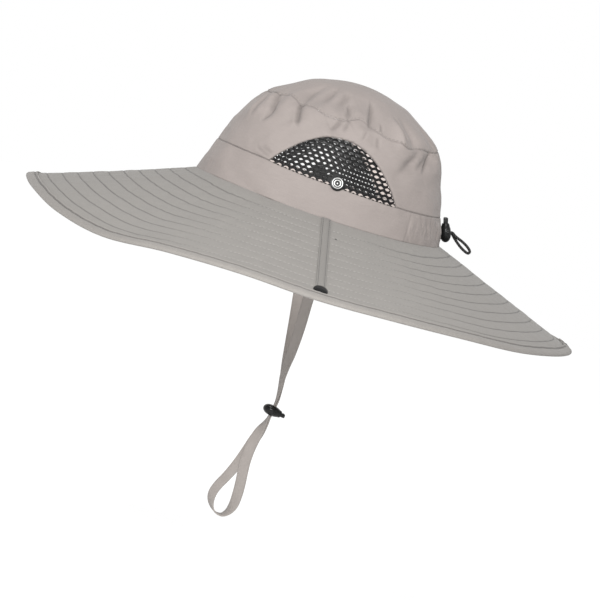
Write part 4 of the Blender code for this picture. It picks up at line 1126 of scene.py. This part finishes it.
def binding_section():
    """The folded tape's section as (outwards, up, painted shade), flat at its stitches."""
    width, wall = BINDING_WIDTH, BINDING_WALL
    top, bottom = 0.0004, -BRIM_WALL - 0.0004
    mid, half, reach = (top + bottom) / 2, (top - bottom) / 2 + wall * 0.8, 0.0014 + wall
    # Painted shade at the tape's inner edge and in its stitched channel; the ridge between has a value
    # below zero.
    face = [(0, -0.2, 0.6), (-0.0001, 0.5, 0.2), (0.0003, 1.15, -0.25), (0.0010, 1.15, -0.25)]
    face += [(0.0016, 0.3, 1), (0.0024, 0.3, 1), (0.0031, 0.8, 0), (0.0042, 0.95, 0)]
    section = [(out - width, top + up * wall, dark) for out, up, dark in face]
    for turn in np.radians(np.linspace(90, -90, 9)):
        section.append((-0.0010 + reach * cos(turn), mid + half * sin(turn), 0))
    section += [(out - width, bottom - up * wall, dark) for out, up, dark in face[::-1]]
    section += [(-0.0005, bottom + 0.0001, 0), (-0.0005, top - 0.0001, 0)]
    return np.array(section)[::-1]


def sweep_binding(name, turn, section, closed, **options):
    edge, out, normal = binding_frame(turn)
    along = section[:, 0][:, None] + binding_waves(turn)[None] * (section[:, 0][:, None] < -0.003)
    points = edge[None] + out[None] * along[..., None] + normal[None] * section[:, 1][:, None, None]
    faces = [tuple(f) for f in grid_faces(len(section), len(turn), True, closed)]
    if not closed:
        for column, way in ((0, 1), (len(turn) - 1, -1)):
            faces.append(tuple(range(column, len(section) * len(turn), len(turn)))[::way])
    # More painted shade on the binding towards the front and back.
    groove_and_painted_shade = section[:, 2][:, None] + 0.22 * from_table(ROW_EDGES, "dark", turn)
    mesh_object(
        name, points, faces, BINDING_TAPE, uv=lengths_uv(points), groove_and_painted_shade=groove_and_painted_shade, slot="binding_cloth",
        **options,
    )


def make_binding():
    """The folded tape round the brim's edge, and its lapped ends at the back."""
    section = binding_section()
    sweep_binding("edge_binding", BRIM_ANGLES, section, True, replaces=("brim_binding",))
    centre = np.array([-BINDING_WIDTH / 2, -BRIM_WALL / 2])
    lap = section.copy()
    lap[:, :2] = centre + (section[:, :2] - centre) * (1.05, 1.28)
    sweep_binding("binding_join", pi + np.linspace(-JOIN_HALF, JOIN_HALF, 15), lap, False)


def binding_lines():
    turn = np.linspace(0, 2 * pi, 1601)
    edge, out, normal = binding_frame(turn)
    row = edge + out * (-BINDING_WIDTH + 0.0019 + binding_waves(turn))[:, None]
    top, low = 0.0004 + 0.5 * BINDING_WALL, BRIM_WALL + 0.0004 + 0.5 * BINDING_WALL
    return [(row + normal * top, normal), (row - normal * low, -normal)]


def join_lines():
    """Dark bar stitches across both ends of the binding's lap."""
    lines = []
    for turn in (pi - JOIN_HALF, pi - JOIN_HALF * 0.8, pi + JOIN_HALF):
        edge, out, normal = binding_frame(np.array([turn]))
        reach = np.linspace(-BINDING_WIDTH, -0.001, 12)[:, None]
        above = 0.0006 + 1.3 * BINDING_WALL
        lines.append((edge + out * reach + normal * above, normal.repeat(12, 0)))
    return lines


SIDE = np.array([pi / 2])
BRIM_WIDTH = float(np.linalg.norm(brim_plain(SIDE, np.ones(1)) - brim_plain(SIDE, np.zeros(1))))


def tab_point(side, y, share, lift):
    half_length = HEAD_LENGTH / 2 + BRIM_REACH_LONG * share
    angle = side * np.arccos(-y / half_length)
    return brim_surface(angle, share, lift), brim_normal(angle, share)


def make_tab(word, side, steps=60):
    """The strip from band to stud, its long edges turned under and stitched. Gives its seams."""
    inner = PIECE_GAP / BRIM_WIDTH
    outer = 1 - (BINDING_WIDTH + STUD_DIAMETER * 0.55) / BRIM_WIDTH
    edge = [(-1, 0.05), (-1.0, 0.7), (-0.9, 1.0), (-0.76, 0.93), (-0.68, 0.62), (-0.6, 0.88)]
    section = edge + [(0, 0.98)] + [(-x, z) for x, z in edge[::-1]] + [(0, 0.05)]
    section = np.array(section)
    places = np.linspace(inner, outer, steps)
    share, column = np.meshgrid(places, np.arange(len(section)), indexing="ij")
    y = -side * section[column, 0] * TAB_WIDTH / 2
    points, _ = tab_point(side, y, share, PIECE_GAP + section[column, 1] * TAB_WALL)
    # Painted shade along the two stitched channels, and a little over the whole strip.
    mesh_object(
        "tab_cloth_" + word, points, tube_faces(steps, len(section)), BRIM_CLOTH,
        uv=np.stack([share * BRIM_WIDTH, y], -1), groove_and_painted_shade=np.where(np.isin(column, (4, 8)), 1.0, 0.22),
        replaces=("brim_tab_" + word,), slot="brim_cloth",
    )
    share = np.linspace(inner + 0.01, outer, 200)
    return [
        tab_point(side, np.full(200, edge * TAB_WIDTH / 2), share, PIECE_GAP + 0.7 * TAB_WALL)
        for edge in (-0.68, 0.68)
    ]


make_brim()
make_binding()
stitches("brim_stitches", brim_lines(-GROOVE_DEPTH * 0.75, 1), PALE_THREAD)
stitches("under_brim_stitches", brim_lines(0.35 * GROOVE_DEPTH - BRIM_WALL, -1), PALE_THREAD)
stitches("binding_stitches", binding_lines(), BINDING_THREAD, size=0.9)
stitches("join_stitches", join_lines(), DARK_THREAD, size=0.9)
stitches("tab_stitches", make_tab("left", 1) + make_tab("right", -1), DARK_THREAD, size=1.2)
speck = (radians(94.2) + np.linspace(-0.012, 0.002, 3), np.linspace(0.214, 0.219, 3))
stitches("thread_end", [(brim_surface(*speck, 0.0004), brim_normal(*speck))], DARK_THREAD, size=1.3)

# ---------------------------------------------------------------- vents

CELL_CORNERS = np.array((
    (-1, -1), (-0.5, -1), (0, -1), (0.5, -1), (1, -1), (1, 0),
    (1, 1), (0.5, 1), (0, 1), (-0.5, 1), (-1, 1), (-1, 0),
))
HOLE_CORNERS = np.array((
    (-0.62, -0.55), (-0.35, -0.86), (0, -1), (0.35, -0.86), (0.62, -0.55), (1, 0),
    (0.62, 0.55), (0.35, 0.86), (0, 1), (-0.35, 0.86), (-0.62, 0.55), (-1, 0),
))


def make_net(word, side):
    """A knitted net: staggered lens holes in a sheet, and a plain border along the arch."""
    verts, faces, lookup = [], [], {}

    def corners(centre, size, shape):
        found = []
        for point in centre + shape * size / 2:
            key = tuple(np.round(point * 1e6).astype(int))
            if key not in lookup:
                lookup[key] = len(verts)
                verts.append(point)
            found.append(lookup[key])
        return found

    half = VENT_WIDTH / 2
    rows = int((VENT_HEIGHT + 2 * VENT_LAP) / NET_PITCH[1]) + 1
    across = int((half + VENT_LAP) / NET_PITCH[0]) + 2
    for row in range(-1, rows):
        for column in range(-across, across + 1):
            centre = NET_PITCH * (column + 0.5 * (row % 2), row + 0.2) + (VENT_CENTRE, 0)
            y, rise = centre
            off = abs(y - VENT_CENTRE)
            arch = vent_arch(y) if off < half else 0
            if off > half + VENT_LAP or rise > arch + VENT_LAP:
                continue
            outer = corners(centre, NET_PITCH, CELL_CORNERS)
            clear = np.hypot(y, rise - SOCKET_RISE) > SOCKET_FLANGE / 2
            if not (clear and arch - rise > -0.0012 and half - off > 0.0012 and rise > 0):
                faces.append(outer)
                continue
            inner = corners(centre, NET_HOLE, HOLE_CORNERS)
            for k in range(12):
                n = (k + 1) % 12
                faces.append((outer[k], outer[n], inner[n], inner[k]))
    y, rise = np.array(verts).T
    rise = np.maximum(rise, -NET_LOWER_LAP)
    turn, share = crown_at(y, lambda turn: share_at(turn, band_rise(turn) + rise))
    points = crown_surface(side * turn, share, np.full(np.shape(y), CROWN_WALL + 0.0003))
    net = mesh_object(
        "net_cloth_" + word, points, [tuple(face)[::side] for face in faces], NET_MESH,
        replaces=("vent_net_" + word,), slot="vent_net",
    )
    modified(net, "SOLIDIFY", thickness=0.0004, offset=-1)


def make_socket(word, side):
    """The snap's socket: a black flange, and rolled steel rings and a nub in its mouth."""
    at, share = crown_at(np.array(0.0), lambda turn: share_at(turn, band_rise(turn)))
    share = share_at(at, band_rise(at) + SOCKET_RISE)
    at = at * side
    seat = crown_surface(at, share, np.array(-PIECE_GAP), detail=0.0)
    place = frame_along(crown_normal(at, share), seat)
    flange, wall = SOCKET_FLANGE / 2, SOCKET_FLANGE_WALL
    profile = [(0, 0.9), (flange - 0.0006, 0.9), (flange - 0.0003, 0.85), (flange - 0.0001, 0.6)]
    profile += [(flange, 0.3), (flange, 1 / 6), (flange - 0.0002, 0), (0, 0)]
    turned(
        "socket_flange_" + word, [(radius, wall * height) for radius, height in profile], place,
        PLASTIC, replaces=("snap_socket_" + word,), slot="snap_metal",
    )
    bend = np.radians(range(180, -1, -15))
    for kind, outer, inner, sunk in SOCKET_RINGS:
        middle, half, top = (outer + inner) / 2, (outer - inner) / 2, SOCKET_HEIGHT - sunk
        roll = [(middle + half * cos(a), top + 0.0005 * sin(a)) for a in bend]
        profile = [(inner, wall), *roll, (outer, wall), (inner, wall)]
        turned("socket_" + kind + "_" + word, profile, place, STEEL, slot="snap_metal")
    nub = [(0, 0.0007), (0.0005, 0.0007), (0.0009, 0.0004), (0.0010, 0), (0, 0)]
    turned(
        "socket_nub_" + word, [(radius, wall + height) for radius, height in nub], place, STEEL,
        slot="snap_metal",
    )


def make_stud(word, side):
    """The snap's domed cap at the end of the tab, with a fine rim round its foot."""
    share = np.array(1 - (BINDING_WIDTH + STUD_DIAMETER / 2 - 0.0010) / BRIM_WIDTH)
    at = np.array(side * pi / 2)
    place = frame_along(brim_normal(at, share), brim_surface(at, share, PIECE_GAP))
    dome = [(0.93 * sin(a), 0.34 + 0.66 * cos(a)) for a in np.radians(range(8, 91, 8))]
    rim = [(0.94, 0.26), (0.99, 0.24), (1, 0.16), (1, 0.05), (0.97, 0), (0, 0)]
    radius, height = STUD_DIAMETER / 2 - 0.0002, STUD_HEIGHT * 0.88
    turned(
        "stud_cap_" + word, [(radius * r, height * z) for r, z in [(0, 1), *dome, *rim]], place,
        PLASTIC, replaces=("snap_stud_" + word,), slot="black_plastic",
    )


for word, side in (("left", 1), ("right", -1)):
    make_net(word, side)
    make_socket(word, side)
    make_stud(word, side)

# ---------------------------------------------------------------- seams


def crown_line(rise, outwards, turn):
    share = share_at(turn, rise)
    return crown_surface(turn, share, np.full(turn.shape, -outwards)), crown_normal(turn, share)


turn = np.linspace(0, 2 * pi, 1201)
top_line = crown_line(tip_rise(turn) + 0.0010, 0.00004, turn)
stitches("crown_stitches", [top_line], CROWN_THREAD, size=0.8)
reach = VENT_WIDTH / 2 - 0.003
reach = np.linspace(-reach, reach, 200) + VENT_CENTRE
turn, _ = crown_at(reach, lambda turn: share_at(turn, band_rise(turn)))
edge_lines = [crown_line(band_rise(turn) - 0.0002, 0.0001, side * turn) for side in (1, -1)]
stitches("net_edge", edge_lines, NET_MESH, size=1.6)

# ---------------------------------------------------------------- stage and light


def make_floor(size=6.0, z=-0.42):
    data = bpy.data.meshes.new("floor")
    corners = [(-size, -size, z), (size, -size, z), (size, size, z), (-size, size, z)]
    data.from_pydata(corners, [], [(0, 1, 2, 3)])
    data.materials.append(Look("floor", (1.0, 1.0, 1.0), 1.0, 0.0).material)
    linked("floor", data)


def make_key(place, target, size, power):
    data = bpy.data.lights.new("key", "AREA")
    data.energy, data.shape, data.size = power, "DISK", size
    light = linked("key", data)
    light.location = place
    aim = Vector(target) - Vector(place)
    light.rotation_euler = aim.to_track_quat("-Z", "Y").to_euler()


def make_inner_light(place, size, power):
    """A small light inside the crown, which shows its cloth through the vents."""
    data = bpy.data.lights.new("inner", "POINT")
    data.energy, data.shadow_soft_size = power, size
    light = linked("inner", data)
    light.location = place
    light.visible_camera = False


make_floor()
make_key((1.78, -0.36, 0.80), (0, 0, 0.02), 0.5, 66)
make_inner_light((0, 0, 0.035), 0.03, 1.0)

world = bpy.data.worlds.new("studio")
bpy.context.scene.world = world
world.use_nodes = True
world.node_tree.nodes["Background"].inputs["Color"].default_value = (1, 1, 1, 1)
world.node_tree.nodes["Background"].inputs["Strength"].default_value = 1.0
bpy.context.scene.view_settings.view_transform = "Standard"
bpy.context.scene.view_settings.look = "None"
